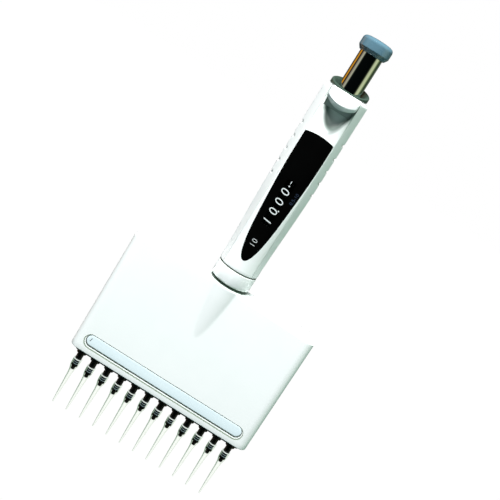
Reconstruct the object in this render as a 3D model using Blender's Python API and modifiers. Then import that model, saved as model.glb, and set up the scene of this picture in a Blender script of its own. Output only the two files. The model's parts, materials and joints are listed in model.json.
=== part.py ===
"""A twelve-channel manual pipette with its tips on, at rest and set to its largest volume.

+Z runs up the handle to the plunger cap, X runs along the row of channels and -Y is the front, with the display.
The origin is on the handle's axis, in the plane of the ejector plate's underside.
"""

import math

import bmesh
import bpy
from mathutils import Matrix, Vector

MM = 0.001  # the sizes below are in millimetres, and the meshes are in metres
GAP = 0.3  # between pieces that rest on each other or slide

# Channels
CHANNELS = 12
PITCH = 9.0
TIP_END_Z = -38.1
TIP_RIM_Z = -7.4
CONE_END_Z = -15.1
COLLAR_END_Z = -3.7

# Head
HEAD_WIDTH = 114.0
HEAD_DEPTH = 21.0
HEAD_BOTTOM_Z = 1.5
HEAD_TOP_Z = 75.5
HEAD_CROWN = 1.9
HEAD_WALL = 2.0
HEAD_EDGE = 2.6
FAIRING_TOP_Z = 76.6
FAIRING_TOP_R = 12.6
FAIRING_POINT_Z = 43.6
NECK_HOLE_R = 7.4
PANEL_Z = 9.7
PANEL_HEIGHT = 8.2
PANEL_WIDTH = 102.0
PANEL_DEPTH = 1.2

# Swivel collar
SWIVEL_Z = 78.1
SWIVEL_TOP_Z = 87.0
SWIVEL_LOW_R = 11.1
SWIVEL_TOP_R = 11.6
SWIVEL_BORE_R = 5.6

# Handle
HANDLE_Z = SWIVEL_TOP_Z + GAP
HANDLE_FULL_Z = 145.0
HANDLE_BACK_FULL_Z = 132.0
HANDLE_TOP_Z = 196.3
HANDLE_LOW_R = 11.6
HANDLE_HALF_WIDTH = 13.0
HANDLE_FRONT = 13.2
HANDLE_BACK = 15.2
HANDLE_SQUARENESS = 2.5
REAR_WALL = 1.8
FRONT_WALL = 2.0
SCOOP_WALL = 1.2
SEAM_X = 9.0
FRONT_TOP_Z = 185.7
SCOOP_Z = 172.5
SCOOP_DEPTH = 3.0

HOOK_WIDTH = 15.0

# Label and display
LABEL_LOW_Z = 94.3
LABEL_CORNER_Z = 170.4
LABEL_TOP_Z = 171.8
LABEL_TOP_HALF = 8.4
LABEL_THICKNESS = 0.5
LABEL_RECESS = 0.9
WINDOW_HALF = 3.3
WINDOW_Z = (116.4, 144.4)
WHEEL_FIRST_Z = 119.2
WHEEL_PITCH = 6.0
WHEEL_R = 9.0
SHAFT_R = 4.7

# Plunger
ROD_R = 2.0
ROD_Z = (56.1, 215.0)
SLEEVE_R = 6.5
SLEEVE_BORE_R = 5.3
SLEEVE_Z = (181.0, 220.0)
FLANGE_R = 7.6
CAP_R = 8.75
CAP_Z = (218.7, 227.2)
STOP_Z = (148.0, 153.0)
LOCK_R = 11.2
LOCK_Z = HANDLE_TOP_Z + GAP
LOCK_RIM_Z = 199.9
LOCK_SLANT = 0.19

# Ejector
EJECT_TRAVEL = 9.0
EJECTOR_TUBE_R = (7.9, 8.7)
EJECTOR_RING_Z = 178.0
BUTTON_HALF = 8.6
BUTTON_Y = (-15.8, -12.5)
BUTTON_Z = (186.6, 197.2)
BUTTON_CORNER_Z = 190.6
WEB_HALF = 7.6
BUTTON_WEB_Z = FRONT_TOP_Z + EJECT_TRAVEL + GAP
RAIL_X = (WEB_HALF + GAP, SEAM_X - GAP / 2)
RAIL_Y = (-10.6, -9.5)
STRIP_Y = (9.4, 10.2)
STRIP_HALF = 2.4
FOOT_RING_Z = (112.0, 114.0)
PUSH_TUBE_R = 4.5
PUSH_TUBE_Z = 90.0
YOKE_Z = (64.0, 66.0)
YOKE_ARM_X = 27.0
YOKE_Y = (5.6, 7.2)
EJECTOR_HALF_WIDTH = 53.2
EJECTOR_HALF_DEPTH = 7.9
COLLAR_BORE_R = 2.25

# Springs and ledges
LEDGE_LOW_Z = (91.2, 92.4)
LEDGE_WHEEL_Z = (114.4, 115.9)
LEDGE_SPRING_Z = (142.8, 144.2)

# Piston drive
BLOCK_Z = (5.5, 30.0)
BLOCK_HALF_WIDTH = 53.0
BLOCK_HALF_DEPTH = 5.2
PISTON_R = 0.5
PISTON_END_Z = 26.5
BAR_Z = (47.9, 53.5)

ROUND = 24  # segments round a large turned piece
COLLAR_ROUND = 12  # segments round an ejector collar
SMALL_ROUND = 10  # segments round a tip or a cone
BORE_ROUND = 8  # segments round a piston or a fine bore


def channel_positions():
    return [(i - (CHANNELS - 1) / 2) * PITCH for i in range(CHANNELS)]


def smooth_step(t):
    t = min(max(t, 0.0), 1.0)
    return t * t * (3 - 2 * t)


# Scene, collections and materials


def clear_scene():
    for obj in list(bpy.data.objects):
        bpy.data.objects.remove(obj, do_unlink=True)


def new_collection(name):
    made = bpy.data.collections.new(name)
    bpy.context.scene.collection.children.link(made)
    return made


def finish(name, colour, roughness, metallic=0.0, transmission=0.0):
    made = bpy.data.materials.new(name)
    made.use_nodes = True
    shader = made.node_tree.nodes["Principled BSDF"]
    shader.inputs["Base Color"].default_value = (*colour, 1.0)
    shader.inputs["Roughness"].default_value = roughness
    shader.inputs["Metallic"].default_value = metallic
    shader.inputs["Transmission Weight"].default_value = transmission
    return made


# Modelling helpers


def add_object(name, mesh, material=None, origin=(0.0, 0.0, 0.0)):
    """Links a mesh whose points are in the part's frame as an object with its origin at the given place."""
    place = Vector(origin) * MM
    mesh.transform(Matrix.Translation(-place))
    obj = bpy.data.objects.new(name, mesh)
    obj.location = place
    if material:
        mesh.materials.append(material)
        PARTS.objects.link(obj)
    else:
        obj.hide_render = True
        obj.display_type = "WIRE"
        CUTTERS.objects.link(obj)
    return obj


def mesh_from(name, bm):
    mesh = bpy.data.meshes.new(name)
    bm.to_mesh(mesh)
    bm.free()
    return mesh


def turned(name, profile, material=None, centre=(0.0, 0.0), steps=ROUND, origin_z=0.0):
    """Turns (radius, z) points about Z. They run down the outer side, and back up the bore if there is one."""
    mesh = bpy.data.meshes.new(name)
    count = len(profile)
    edges = [(i, i + 1) for i in range(count - 1)]
    if profile[0][0] > 0:
        edges.append((count - 1, 0))
    x, y = centre
    mesh.from_pydata([Vector((r + x, y, z)) * MM for r, z in profile], edges, [])
    obj = add_object(name, mesh, material, (x, y, origin_z))
    turn = obj.modifiers.new("Turn", "SCREW")
    turn.steps = steps
    turn.render_steps = steps
    turn.use_merge_vertices = True
    turn.merge_threshold = 0.01 * MM
    return obj


def baked(obj):
    """Gives an object the mesh that its modifiers make, and returns that mesh."""
    graph = bpy.context.evaluated_depsgraph_get()
    obj.data = bpy.data.meshes.new_from_object(obj.evaluated_get(graph))
    obj.modifiers.clear()
    return obj.data


def cylinder(name, radius, z_range, material=None, centre=(0.0, 0.0), steps=ROUND):
    low, high = z_range
    profile = [(0.0, high), (radius, high), (radius, low), (0.0, low)]
    return turned(name, profile, material, centre, steps)


def tube_profile(outer, bore, z_range):
    low, high = z_range
    return [(outer, high), (outer, low), (bore, low), (bore, high)]


def box(name, low, high, material=None, edge=0.0, origin=(0.0, 0.0, 0.0)):
    bm = bmesh.new()
    bmesh.ops.create_cube(bm, size=1.0)
    low, high = Vector(low), Vector(high)
    bmesh.ops.scale(bm, vec=(high - low) * MM, verts=bm.verts)
    bmesh.ops.translate(bm, vec=(high + low) / 2 * MM, verts=bm.verts)
    obj = add_object(name, mesh_from(name, bm), material, origin)
    if edge:
        bevel(obj, edge)
    return obj


def bevel(obj, width, segments=2):
    rounding = obj.modifiers.new("Rounding", "BEVEL")
    rounding.width = width * MM
    rounding.segments = segments
    rounding.limit_method = "ANGLE"


def outline_mesh(name, points, thickness, matrix):
    """A flat outline, filled and given a thickness. The matrix takes its plane to its place in the part."""
    curve = bpy.data.curves.new(name, "CURVE")
    curve.dimensions = "2D"
    curve.fill_mode = "BOTH"
    curve.extrude = thickness / 2 * MM
    spline = curve.splines.new("POLY")
    spline.points.add(len(points) - 1)
    for point, (u, v) in zip(spline.points, points):
        point.co = (u * MM, v * MM, 0.0, 1.0)
    spline.use_cyclic_u = True
    guide = bpy.data.objects.new(name, curve)
    bpy.context.scene.collection.objects.link(guide)
    graph = bpy.context.evaluated_depsgraph_get()
    mesh = bpy.data.meshes.new_from_object(guide.evaluated_get(graph))
    bm = bmesh.new()
    bm.from_mesh(mesh)
    bmesh.ops.remove_doubles(bm, verts=bm.verts, dist=0.001 * MM)
    bm.transform(matrix)
    bmesh.ops.recalc_face_normals(bm, faces=bm.faces)
    bm.to_mesh(mesh)
    bm.free()
    bpy.data.objects.remove(guide)
    return mesh


def upright(z):
    """Takes an outline's (u, v) to (x, y) at a height."""
    return Matrix.Translation(Vector((0.0, 0.0, z)) * MM)


def facing_front(y):
    """Takes an outline's (u, v) to (x, z) at a depth."""
    turn = Matrix.Rotation(math.pi / 2, 4, "X")
    return Matrix.Translation(Vector((0.0, y, 0.0)) * MM) @ turn


def facing_side():
    """Takes an outline's (u, v) to (y, z) in the middle plane."""
    return Matrix(((0, 0, 1, 0), (1, 0, 0, 0), (0, 1, 0, 0), (0, 0, 0, 1)))


def between_grids(name, outer, inner, material=None):
    """A closed solid between two equal grids of points, given as rows."""
    rows, columns = len(outer), len(outer[0])
    bm = bmesh.new()
    grids = [[[bm.verts.new(Vector(p) * MM) for p in row] for row in grid] for grid in (outer, inner)]
    for grid in grids:
        for i in range(rows - 1):
            for j in range(columns - 1):
                bm.faces.new((grid[i][j], grid[i][j + 1], grid[i + 1][j + 1], grid[i + 1][j]))
    out, back = grids
    for i in range(rows - 1):
        for j in (0, columns - 1):
            bm.faces.new((out[i][j], out[i + 1][j], back[i + 1][j], back[i][j]))
    for j in range(columns - 1):
        for i in (0, rows - 1):
            bm.faces.new((out[i][j], out[i][j + 1], back[i][j + 1], back[i][j]))
    bmesh.ops.recalc_face_normals(bm, faces=bm.faces)
    mesh = mesh_from(name, bm)
    mesh.shade_smooth()
    mesh.set_sharp_from_angle(angle=math.radians(35))
    return add_object(name, mesh, material)


def combine(obj, other, operation):
    step = obj.modifiers.new(operation.title(), "BOOLEAN")
    step.operation = operation
    step.object = other


def cut(obj, other):
    combine(obj, other, "DIFFERENCE")


def join(obj, other):
    combine(obj, other, "UNION")


# The handle's outer form


def handle_section(z):
    """Half-width, depth in front, depth behind and squareness of the handle at a height."""
    t = smooth_step((z - HANDLE_Z) / (HANDLE_FULL_Z - HANDLE_Z))
    half_width = HANDLE_LOW_R + t * (HANDLE_HALF_WIDTH - HANDLE_LOW_R)
    front = HANDLE_LOW_R + t * (HANDLE_FRONT - HANDLE_LOW_R)
    behind = smooth_step((z - HANDLE_Z) / (HANDLE_BACK_FULL_Z - HANDLE_Z))
    back = HANDLE_LOW_R + behind * (HANDLE_BACK - HANDLE_LOW_R)
    return half_width, front, back, 2 + t * (HANDLE_SQUARENESS - 2)


def scoop(x, z):
    """How far the thumb scoop sinks into the front panel."""
    along = smooth_step((z - SCOOP_Z) / (FRONT_TOP_Z - SCOOP_Z))
    return SCOOP_DEPTH * along * max(0.0, 1 - (x / SEAM_X) ** 2)


def handle_point(angle, z, inset=0.0):
    """A point on the handle's surface, or inside it by an inset. The angle turns from the front towards +X."""
    half_width, front, back, square = handle_section(z)
    side, ahead = math.sin(angle), math.cos(angle)
    depth = front if ahead > 0 else back
    x = math.copysign(abs(side) ** (2 / square), side) * (half_width - inset)
    y = -math.copysign(abs(ahead) ** (2 / square), ahead) * (depth - inset)
    return Vector((x, y, z))


def angle_at(x, z, inset=0.0):
    """The angle at which the front of the handle reaches an x."""
    half_width, _, _, square = handle_section(z)
    return math.asin((x / (half_width - inset)) ** (square / 2))


def front_y(x, z):
    """The front panel's surface at an x and a height."""
    return handle_point(angle_at(abs(x), z), z).y


# Handle


def ledge(name, z_range, radius, y_front=-4.5, y_back=9.1):
    """A flat web across the handle, cut straight in front and behind."""
    low, high = z_range
    first, last = math.asin(y_front / radius), math.asin(y_back / radius)
    steps = 6
    angles = [first + (last - first) * i / steps for i in range(steps + 1)]
    right = [(radius * math.cos(a), radius * math.sin(a)) for a in angles]
    left = [(-x, y) for x, y in reversed(right)]
    return add_object(name, outline_mesh(name, right + left, high - low, upright((low + high) / 2)))


def finger_hook():
    """The hook over the index finger, as a side outline. Its underside is flat."""
    top = [(13.0, 194.0), (20.0, 193.6), (28.0, 191.2), (35.0, 186.6), (38.6, 180.6)]
    under = [(38.2, 178.6), (36.4, 178.2), (35.0, 181.0), (34.0, 182.0), (13.0, 182.0)]
    return add_object("hook_outline", outline_mesh("hook_outline", top + under, HOOK_WIDTH, facing_side()))


def handle_rear_shell(white):
    levels = [HANDLE_Z, 92.0, 102.0, 112.0, 122.0, 132.0, HANDLE_FULL_Z, 194.6, 195.8, HANDLE_TOP_Z]
    outer_inset = [0.0] * (len(levels) - 3) + [0.1, 0.8, 2.6]
    inner_z = levels[:-3] + [192.8, 193.6, 194.4]
    inner_inset = [REAR_WALL] * (len(levels) - 1) + [2.6]
    columns = 22

    def row(z, inset):
        start = angle_at(SEAM_X + GAP / 2, z, inset)
        return [handle_point(start + (2 * math.pi - 2 * start) * j / columns, z, inset) for j in range(columns + 1)]

    outer = [row(z, inset) for z, inset in zip(levels, outer_inset)]
    inner = [row(z, inset) for z, inset in zip(inner_z, inner_inset)]
    shell = between_grids("handle_rear_shell", outer, inner, white)
    low_r = HANDLE_LOW_R - REAR_WALL / 2
    full_r = HANDLE_HALF_WIDTH - REAR_WALL / 2
    join(shell, ledge("ledge_low", LEDGE_LOW_Z, low_r, y_front=-2.5, y_back=8.0))
    join(shell, ledge("ledge_wheel", LEDGE_WHEEL_Z, full_r - 0.7))
    join(shell, ledge("ledge_spring", LEDGE_SPRING_Z, full_r))
    shaft_z = (LEDGE_WHEEL_Z[0] + 0.5, LEDGE_SPRING_Z[1] - 0.5)
    join(shell, cylinder("counter_shaft", SHAFT_R, shaft_z, steps=24))
    join(shell, finger_hook())
    cut(shell, cylinder("rod_way", ROD_R + 0.7, (100.0, 150.0), steps=24))
    cut(shell, cylinder("push_tube_way", PUSH_TUBE_R + GAP + 0.1, (90.0, 95.0), steps=24))
    return shell


def handle_front_shell(white):
    """The front panel with the thumb scoop. Two rails run on past the pad's web to the handle's top."""
    levels = [HANDLE_Z, 92.0, 102.0, 112.0, 122.0, 132.0, HANDLE_FULL_Z, 160.0, SCOOP_Z]
    levels += [175.5, 178.5, 181.5, 184.0, FRONT_TOP_Z]
    columns = 12

    def row(z, inset):
        edge = angle_at(SEAM_X - GAP / 2, z, inset)
        points = [handle_point(edge * (2 * j / columns - 1), z, inset) for j in range(columns + 1)]
        return [p + Vector((0.0, scoop(p.x, z), 0.0)) for p in points]

    def wall(z):
        return FRONT_WALL - (FRONT_WALL - SCOOP_WALL) * smooth_step((z - 160.0) / (SCOOP_Z + 3 - 160.0))

    outer = [row(z, 0.0) for z in levels]
    inner = [row(z, wall(z)) for z in levels]
    shell = between_grids("handle_front_shell", outer, inner, white)
    cut(shell, label_solid("label_recess", 0.25, -1.0, LABEL_RECESS))
    cut(shell, window_cutter("shell_window_way"))
    overlap = 1.5
    for side in (-1, 1):
        near, far = sorted(side * x for x in RAIL_X)
        low, high = (near, RAIL_Y[0], FRONT_TOP_Z - overlap), (far, RAIL_Y[1], HANDLE_TOP_Z)
        join(shell, box(f"pad_rail_{side + 1}", low, high))
    return shell


# Label and display


def label_half_width(z):
    """The label narrows steadily from its top, then rounds in to a blunt point."""
    t = (z - LABEL_LOW_Z) / (LABEL_CORNER_Z - LABEL_LOW_Z)
    return LABEL_TOP_HALF * (0.62 + 0.38 * t) * math.sqrt(1 - (1 - min(1.0, t / 0.62)) ** 2.4)


def label_solid(name, grow, lift, depth, material=None):
    """The label's outline as a solid that follows the panel. Lift and depth are measured inwards from the panel."""
    rows = 12
    columns = 4
    low, corner = LABEL_LOW_Z + 0.2 - grow, LABEL_CORNER_Z + grow
    outer, inner = [], []
    for i in range(rows + 1):
        t = (i / rows) ** 1.5
        z = low + (corner - low) * t
        half = label_half_width(max(z, LABEL_LOW_Z + 0.2)) + grow
        arch = (LABEL_TOP_Z - LABEL_CORNER_Z) * t**6
        for grid, sink in ((outer, lift), (inner, depth)):
            row = []
            for j in range(columns + 1):
                u = 2 * j / columns - 1
                x = half * u
                height = z + arch * (1 - u * u)
                row.append(Vector((x, front_y(x, height) + sink, height)))
            grid.append(row)
    return between_grids(name, outer, inner, material)


def window_cutter(name):
    clearance = 0.25
    low = (-WINDOW_HALF - clearance, -16.0, WINDOW_Z[0] - clearance)
    high = (WINDOW_HALF + clearance, -8.0, WINDOW_Z[1] + clearance)
    return box(name, low, high)


def label_plate(black):
    plate = label_solid("label_plate", 0.0, 0.0, LABEL_THICKNESS, black)
    cut(plate, window_cutter("label_window_way"))
    return plate


def display_window(clear):
    low = (-WINDOW_HALF, -12.1, WINDOW_Z[0])
    high = (WINDOW_HALF, -10.4, WINDOW_Z[1])
    return box("display_window", low, high, clear, edge=0.2)


def number_wheels(wheel_black):
    """Four digit drums on the hollow shaft, the largest digit lowest."""
    names = ("tens", "ones", "tenths", "hundredths")
    for i, name in enumerate(names):
        middle = WHEEL_FIRST_Z + i * WHEEL_PITCH
        half = (WHEEL_PITCH - GAP) / 2
        profile = tube_profile(WHEEL_R, SHAFT_R + GAP, (middle - half, middle + half))
        turned("number_wheel_" + name, profile, wheel_black, steps=20, origin_z=middle)


# Plunger


def plunger_rod(steel):
    low, high = ROD_Z
    profile = [(0.0, high), (ROD_R, high), (ROD_R, low + 0.6), (ROD_R - 0.6, low), (0.0, low)]
    turned("plunger_rod", profile, steel, steps=16, origin_z=low)


def plunger_sleeve(chrome):
    low, high = SLEEVE_Z
    flange_top = low + 1.5
    profile = [(SLEEVE_R, high), (SLEEVE_R, flange_top), (FLANGE_R, flange_top), (FLANGE_R, low)]
    profile += [(SLEEVE_BORE_R, low), (SLEEVE_BORE_R, high)]
    turned("plunger_sleeve", profile, chrome, origin_z=low)


def plunger_cap(grey):
    """The thumb cap, hollow underneath so that it drops over the sleeve."""
    low, high = CAP_Z
    rim, shoulder = low + 1.6, high - 2.4
    profile = [(0.0, high), (4.0, high - 0.2), (6.8, high - 0.9), (8.2, high - 1.7), (CAP_R, shoulder)]
    profile += [(CAP_R, rim), (7.2, low), (SLEEVE_R + GAP, low)]
    profile += [(SLEEVE_R + GAP, SLEEVE_Z[1] + GAP), (0.0, SLEEVE_Z[1] + GAP)]
    turned("plunger_cap", profile, grey, origin_z=low)


def volume_stop(brass):
    profile = tube_profile(5.5, ROD_R + 0.4, STOP_Z)
    turned("volume_stop", profile, brass, steps=20, origin_z=STOP_Z[0])


def volume_lock_ring(dark):
    """A cup round the sleeve. Its rim is slanted, low in front."""
    rim = LOCK_RIM_Z
    profile = [(10.4, rim), (11.0, rim - 0.4), (LOCK_R, rim - 1.2), (LOCK_R, LOCK_Z + 0.6), (10.6, LOCK_Z)]
    profile += [(FLANGE_R + 0.2, LOCK_Z), (FLANGE_R + 0.2, LOCK_Z + 0.8), (9.4, rim - 0.5)]
    ring = turned("volume_lock_ring", profile, dark, origin_z=LOCK_Z)
    mesh = baked(ring)
    for vert in mesh.vertices:
        share = vert.co.z / ((rim - LOCK_Z) * MM)
        vert.co.z += LOCK_SLANT * vert.co.y * share
    return ring


def coil(name, radius, wire, turns, z_range, metal):
    """A compression spring with a closed turn at each end."""
    low, high = z_range
    per_turn = 8
    count = int(turns * per_turn)
    curve = bpy.data.curves.new(name, "CURVE")
    curve.dimensions = "3D"
    curve.bevel_depth = wire / 2 * MM
    curve.bevel_resolution = 0
    curve.use_fill_caps = True
    spline = curve.splines.new("POLY")
    spline.points.add(count)
    bottom, top = low + wire / 2, high - wire / 2
    pitch = (top - bottom - 2 * wire) / (turns - 2)
    for i, point in enumerate(spline.points):
        turn = i / per_turn
        if turn < 1:
            z = bottom + wire * turn
        elif turn > turns - 1:
            z = top - wire * (turns - turn)
        else:
            z = bottom + wire + pitch * (turn - 1)
        angle = 2 * math.pi * turn
        point.co = (radius * math.cos(angle) * MM, radius * math.sin(angle) * MM, (z - low) * MM, 1.0)
    curve.materials.append(metal)
    obj = bpy.data.objects.new(name, curve)
    obj.location = (0.0, 0.0, low * MM)
    PARTS.objects.link(obj)
    return obj


# Ejector


def ejector_button(white):
    """The thumb pad in front of the panel, on a web that reaches back to the ejector's tube."""
    low, high = BUTTON_Z
    steps = 8
    across = [BUTTON_HALF * (1 - 2 * i / steps) for i in range(steps + 1)]
    bottom = [(x, low + (BUTTON_CORNER_Z - low) * (x / BUTTON_HALF) ** 2) for x in across]
    outline = [(-BUTTON_HALF, high), (BUTTON_HALF, high)] + bottom
    thickness = BUTTON_Y[1] - BUTTON_Y[0]
    mesh = outline_mesh("ejector_button", outline, thickness, facing_front(sum(BUTTON_Y) / 2))
    button = add_object("ejector_button", mesh, white, (0.0, 0.0, low))
    bevel(button, 0.7)
    web_low = (-WEB_HALF, BUTTON_Y[1] - 1.0, BUTTON_WEB_Z)
    web_high = (WEB_HALF, -EJECTOR_TUBE_R[1] - GAP, HANDLE_TOP_Z)
    join(button, box("button_web", web_low, web_high))
    return button


def ejector_rod(grey):
    """A tube round the sleeve, a strip down the back of the handle and a push tube on the axis."""
    tube_in, tube_out = EJECTOR_TUBE_R
    tube = tube_profile(tube_out, tube_in, (EJECTOR_RING_Z, HANDLE_TOP_Z))
    rod = turned("ejector_rod", tube, grey, origin_z=PUSH_TUBE_Z)
    strip_top = EJECTOR_RING_Z + 4.0
    foot_low, foot_high = FOOT_RING_Z
    join(rod, box("rod_strip", (-STRIP_HALF, STRIP_Y[0], foot_low), (STRIP_HALF, STRIP_Y[1], strip_top)))
    join(rod, box("rod_tab", (-STRIP_HALF, tube_out - 0.4, EJECTOR_RING_Z), (STRIP_HALF, STRIP_Y[1], strip_top)))
    join(rod, box("rod_foot", (-STRIP_HALF, 0.0, foot_low), (STRIP_HALF, STRIP_Y[1], foot_high)))
    join(rod, cylinder("rod_push_tube", PUSH_TUBE_R, (PUSH_TUBE_Z, foot_high), steps=24))
    cut(rod, cylinder("rod_push_bore", ROD_R + 0.7, (PUSH_TUBE_Z - 2, foot_high + 2), steps=24))
    return rod


def ejector_plate(black):
    """The plate with a collar round each cone, and the yoke that carries it up to the neck."""
    half = EJECTOR_HALF_WIDTH
    plate = box("ejector_plate", (-half, -EJECTOR_HALF_DEPTH, 0.0), (half, EJECTOR_HALF_DEPTH, 2.0), black)
    for i, x in enumerate(channel_positions()):
        profile = [(0.0, 0.5), (3.7, 0.5), (2.9, -1.4), (2.9, COLLAR_END_Z), (0.0, COLLAR_END_Z)]
        join(plate, turned(f"collar_{i + 1:02d}", profile, centre=(x, 0.0), steps=COLLAR_ROUND))
    arm_in, arm_out = YOKE_ARM_X - 2.0, YOKE_ARM_X + 2.0
    bar_low, bar_high = YOKE_Z
    frame = [(-arm_out, 1.0), (-arm_out, bar_high), (arm_out, bar_high), (arm_out, 1.0)]
    frame += [(arm_in, 1.0), (arm_in, bar_low), (-arm_in, bar_low), (-arm_in, 1.0)]
    thickness = YOKE_Y[1] - YOKE_Y[0]
    yoke_mesh = outline_mesh("yoke", frame, thickness, facing_front(sum(YOKE_Y) / 2))
    join(plate, add_object("yoke", yoke_mesh))
    join(plate, box("yoke_bridge", (-4.0, 0.0, bar_low + 0.2), (4.0, YOKE_Y[1] - 0.3, bar_high - 0.2)))
    tube_z = (YOKE_Z[0], PUSH_TUBE_Z - GAP)
    join(plate, cylinder("yoke_tube", SWIVEL_BORE_R - 0.4, tube_z, steps=24))
    cut(plate, cylinder("yoke_bore", ROD_R + 1.0, (YOKE_Z[0] - 2, PUSH_TUBE_Z + 2), steps=24))
    bore_z = (COLLAR_END_Z - 2.0, 4.0)
    for i, x in enumerate(channel_positions()):
        cut(plate, cylinder(f"collar_bore_{i + 1:02d}", COLLAR_BORE_R, bore_z, centre=(x, 0.0), steps=COLLAR_ROUND))
    return plate


# Head


def head_cover(name, white, front):
    """Half of the head's casing, with its share of the fairing under the collar."""
    half_x, half_y = HEAD_WIDTH / 2, HEAD_DEPTH / 2
    bm = bmesh.new()
    bmesh.ops.create_cube(bm, size=1.0)
    size = Vector((HEAD_WIDTH, HEAD_DEPTH, HEAD_TOP_Z - HEAD_BOTTOM_Z))
    bmesh.ops.scale(bm, vec=size * MM, verts=bm.verts)
    bmesh.ops.translate(bm, vec=Vector((0.0, 0.0, (HEAD_TOP_Z + HEAD_BOTTOM_Z) / 2)) * MM, verts=bm.verts)
    for share in (-0.75, -0.5, -0.25, 0.0, 0.25, 0.5, 0.75):
        everything = bm.verts[:] + bm.edges[:] + bm.faces[:]
        plane = Vector((share * half_x * MM, 0.0, 0.0))
        bmesh.ops.bisect_plane(bm, geom=everything, plane_co=plane, plane_no=(1.0, 0.0, 0.0))
    for vert in bm.verts:
        if vert.co.z > (HEAD_TOP_Z - 1) * MM:
            vert.co.z -= HEAD_CROWN * MM * (vert.co.x / (half_x * MM)) ** 2
    cover = add_object(name, mesh_from(name, bm), white)
    bevel(cover, HEAD_EDGE)
    slope = (FAIRING_TOP_R - half_y) / (FAIRING_TOP_Z - FAIRING_POINT_Z)
    foot_z = FAIRING_POINT_Z - 8.0
    foot_r = half_y - slope * (FAIRING_POINT_Z - foot_z)
    fairing = [(0.0, FAIRING_TOP_Z), (FAIRING_TOP_R - 0.6, FAIRING_TOP_Z), (FAIRING_TOP_R, FAIRING_TOP_Z - 0.6)]
    fairing += [(foot_r, foot_z), (0.0, foot_z)]
    join(cover, turned(name + "_fairing", fairing, steps=36))
    wall = HEAD_WALL
    low = (wall - half_x, wall - half_y, HEAD_BOTTOM_Z - 5)
    high = (half_x - wall, half_y - wall, HEAD_TOP_Z - HEAD_CROWN - wall)
    cut(cover, box(name + "_cavity", low, high))
    cut(cover, cylinder(name + "_neck_way", NECK_HOLE_R, (HEAD_TOP_Z - 20, HEAD_TOP_Z + 20)))
    reach = HEAD_WIDTH
    if front:
        low, high = (-reach, -GAP / 2, -reach), (reach, reach, 2 * reach)
        cut(cover, panel_solid("panel_recess", PANEL_HEIGHT / 2, -half_y - 2, -half_y + PANEL_DEPTH))
    else:
        low, high = (-reach, -reach, -reach), (reach, GAP / 2, 2 * reach)
    cut(cover, box(name + "_parting", low, high))
    return cover


def panel_solid(name, radius, y_front, y_back, material=None):
    """A stadium across the front of the head."""
    centre_x = (PANEL_WIDTH - PANEL_HEIGHT) / 2
    steps = 8
    angles = [-math.pi / 2 + math.pi * i / steps for i in range(steps + 1)]
    right = [(centre_x + radius * math.cos(a), PANEL_Z + radius * math.sin(a)) for a in angles]
    left = [(-x, 2 * PANEL_Z - z) for x, z in right]
    thickness = y_back - y_front
    mesh = outline_mesh(name, right + left, thickness, facing_front((y_front + y_back) / 2))
    return add_object(name, mesh, material)


def id_panel(pale):
    face = -HEAD_DEPTH / 2 + 0.1
    return panel_solid("id_panel", PANEL_HEIGHT / 2 - 0.5, face, face + PANEL_DEPTH - GAP - 0.1, pale)


def swivel_collar(white):
    """The ring between head and handle. Its neck is held under the head's top and it runs free in the handle."""
    top, low = SWIVEL_TOP_Z, SWIVEL_Z
    flange_z = (67.5, HEAD_TOP_Z - HEAD_CROWN - HEAD_WALL - GAP)
    neck_r = NECK_HOLE_R - GAP
    spigot_top = LEDGE_LOW_Z[0] - GAP
    profile = [(8.4, spigot_top), (8.4, top), (SWIVEL_TOP_R, top), (SWIVEL_LOW_R, low + 0.7), (SWIVEL_LOW_R - 0.7, low)]
    profile += [(neck_r, low), (neck_r, flange_z[1]), (8.2, flange_z[1]), (8.2, flange_z[0])]
    profile += [(SWIVEL_BORE_R, flange_z[0]), (SWIVEL_BORE_R, spigot_top)]
    return turned("swivel_collar", profile, white, origin_z=low)


def cone_block(grey):
    """The bar that holds the cones. A piston runs in each of its cylinders."""
    low, high = BLOCK_Z
    size_low = (-BLOCK_HALF_WIDTH, -BLOCK_HALF_DEPTH, low)
    size_high = (BLOCK_HALF_WIDTH, BLOCK_HALF_DEPTH, high)
    block = box("cone_block", size_low, size_high, grey)
    for i, x in enumerate(channel_positions()):
        profile = [(0.0, high + 2), (PISTON_R + 0.4, high + 2), (PISTON_R + 0.4, low + 5), (2.4, low + 5)]
        profile += [(2.4, low - 2), (0.0, low - 2)]
        cut(block, turned(f"cylinder_{i + 1:02d}", profile, centre=(x, 0.0), steps=BORE_ROUND))
    return block


def piston_bar(grey):
    low, high = BAR_Z
    bar = box("piston_bar", (-BLOCK_HALF_WIDTH, -4.0, low), (BLOCK_HALF_WIDTH, 4.0, high), grey)
    join(bar, cylinder("bar_boss", 2.6, (high - 1.0, ROD_Z[0] - GAP), steps=16))
    for i, x in enumerate(channel_positions()):
        cut(bar, cylinder(f"bar_bore_{i + 1:02d}", 1.7, (low - 2, low + 2.4), centre=(x, 0.0), steps=BORE_ROUND))
    return bar


def tip_cones(black):
    """Each cone has a spigot in the block, an O-ring bulge near its end and a fine bore."""
    end = CONE_END_Z
    spigot_top = BLOCK_Z[0] + 5 - GAP
    outline = [(1.9, spigot_top), (1.9, -5.0), (1.7, -8.7), (1.35, -9.2), (1.5, -12.3), (1.1, -13.0), (0.9, end)]
    outline += [(0.35, end), (0.35, spigot_top)]
    for i, x in enumerate(channel_positions()):
        turned(f"tip_cone_{i + 1:02d}", outline, black, (x, 0.0), SMALL_ROUND, end)


def pistons(steel):
    low = BAR_Z[0]
    profile = [(0.0, low + 2.1), (1.3, low + 2.1), (1.3, low - 1.5), (PISTON_R, low - 1.5)]
    profile += [(PISTON_R, PISTON_END_Z), (0.0, PISTON_END_Z)]
    for i, x in enumerate(channel_positions()):
        turned(f"piston_{i + 1:02d}", profile, steel, (x, 0.0), BORE_ROUND, PISTON_END_Z)


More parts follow.
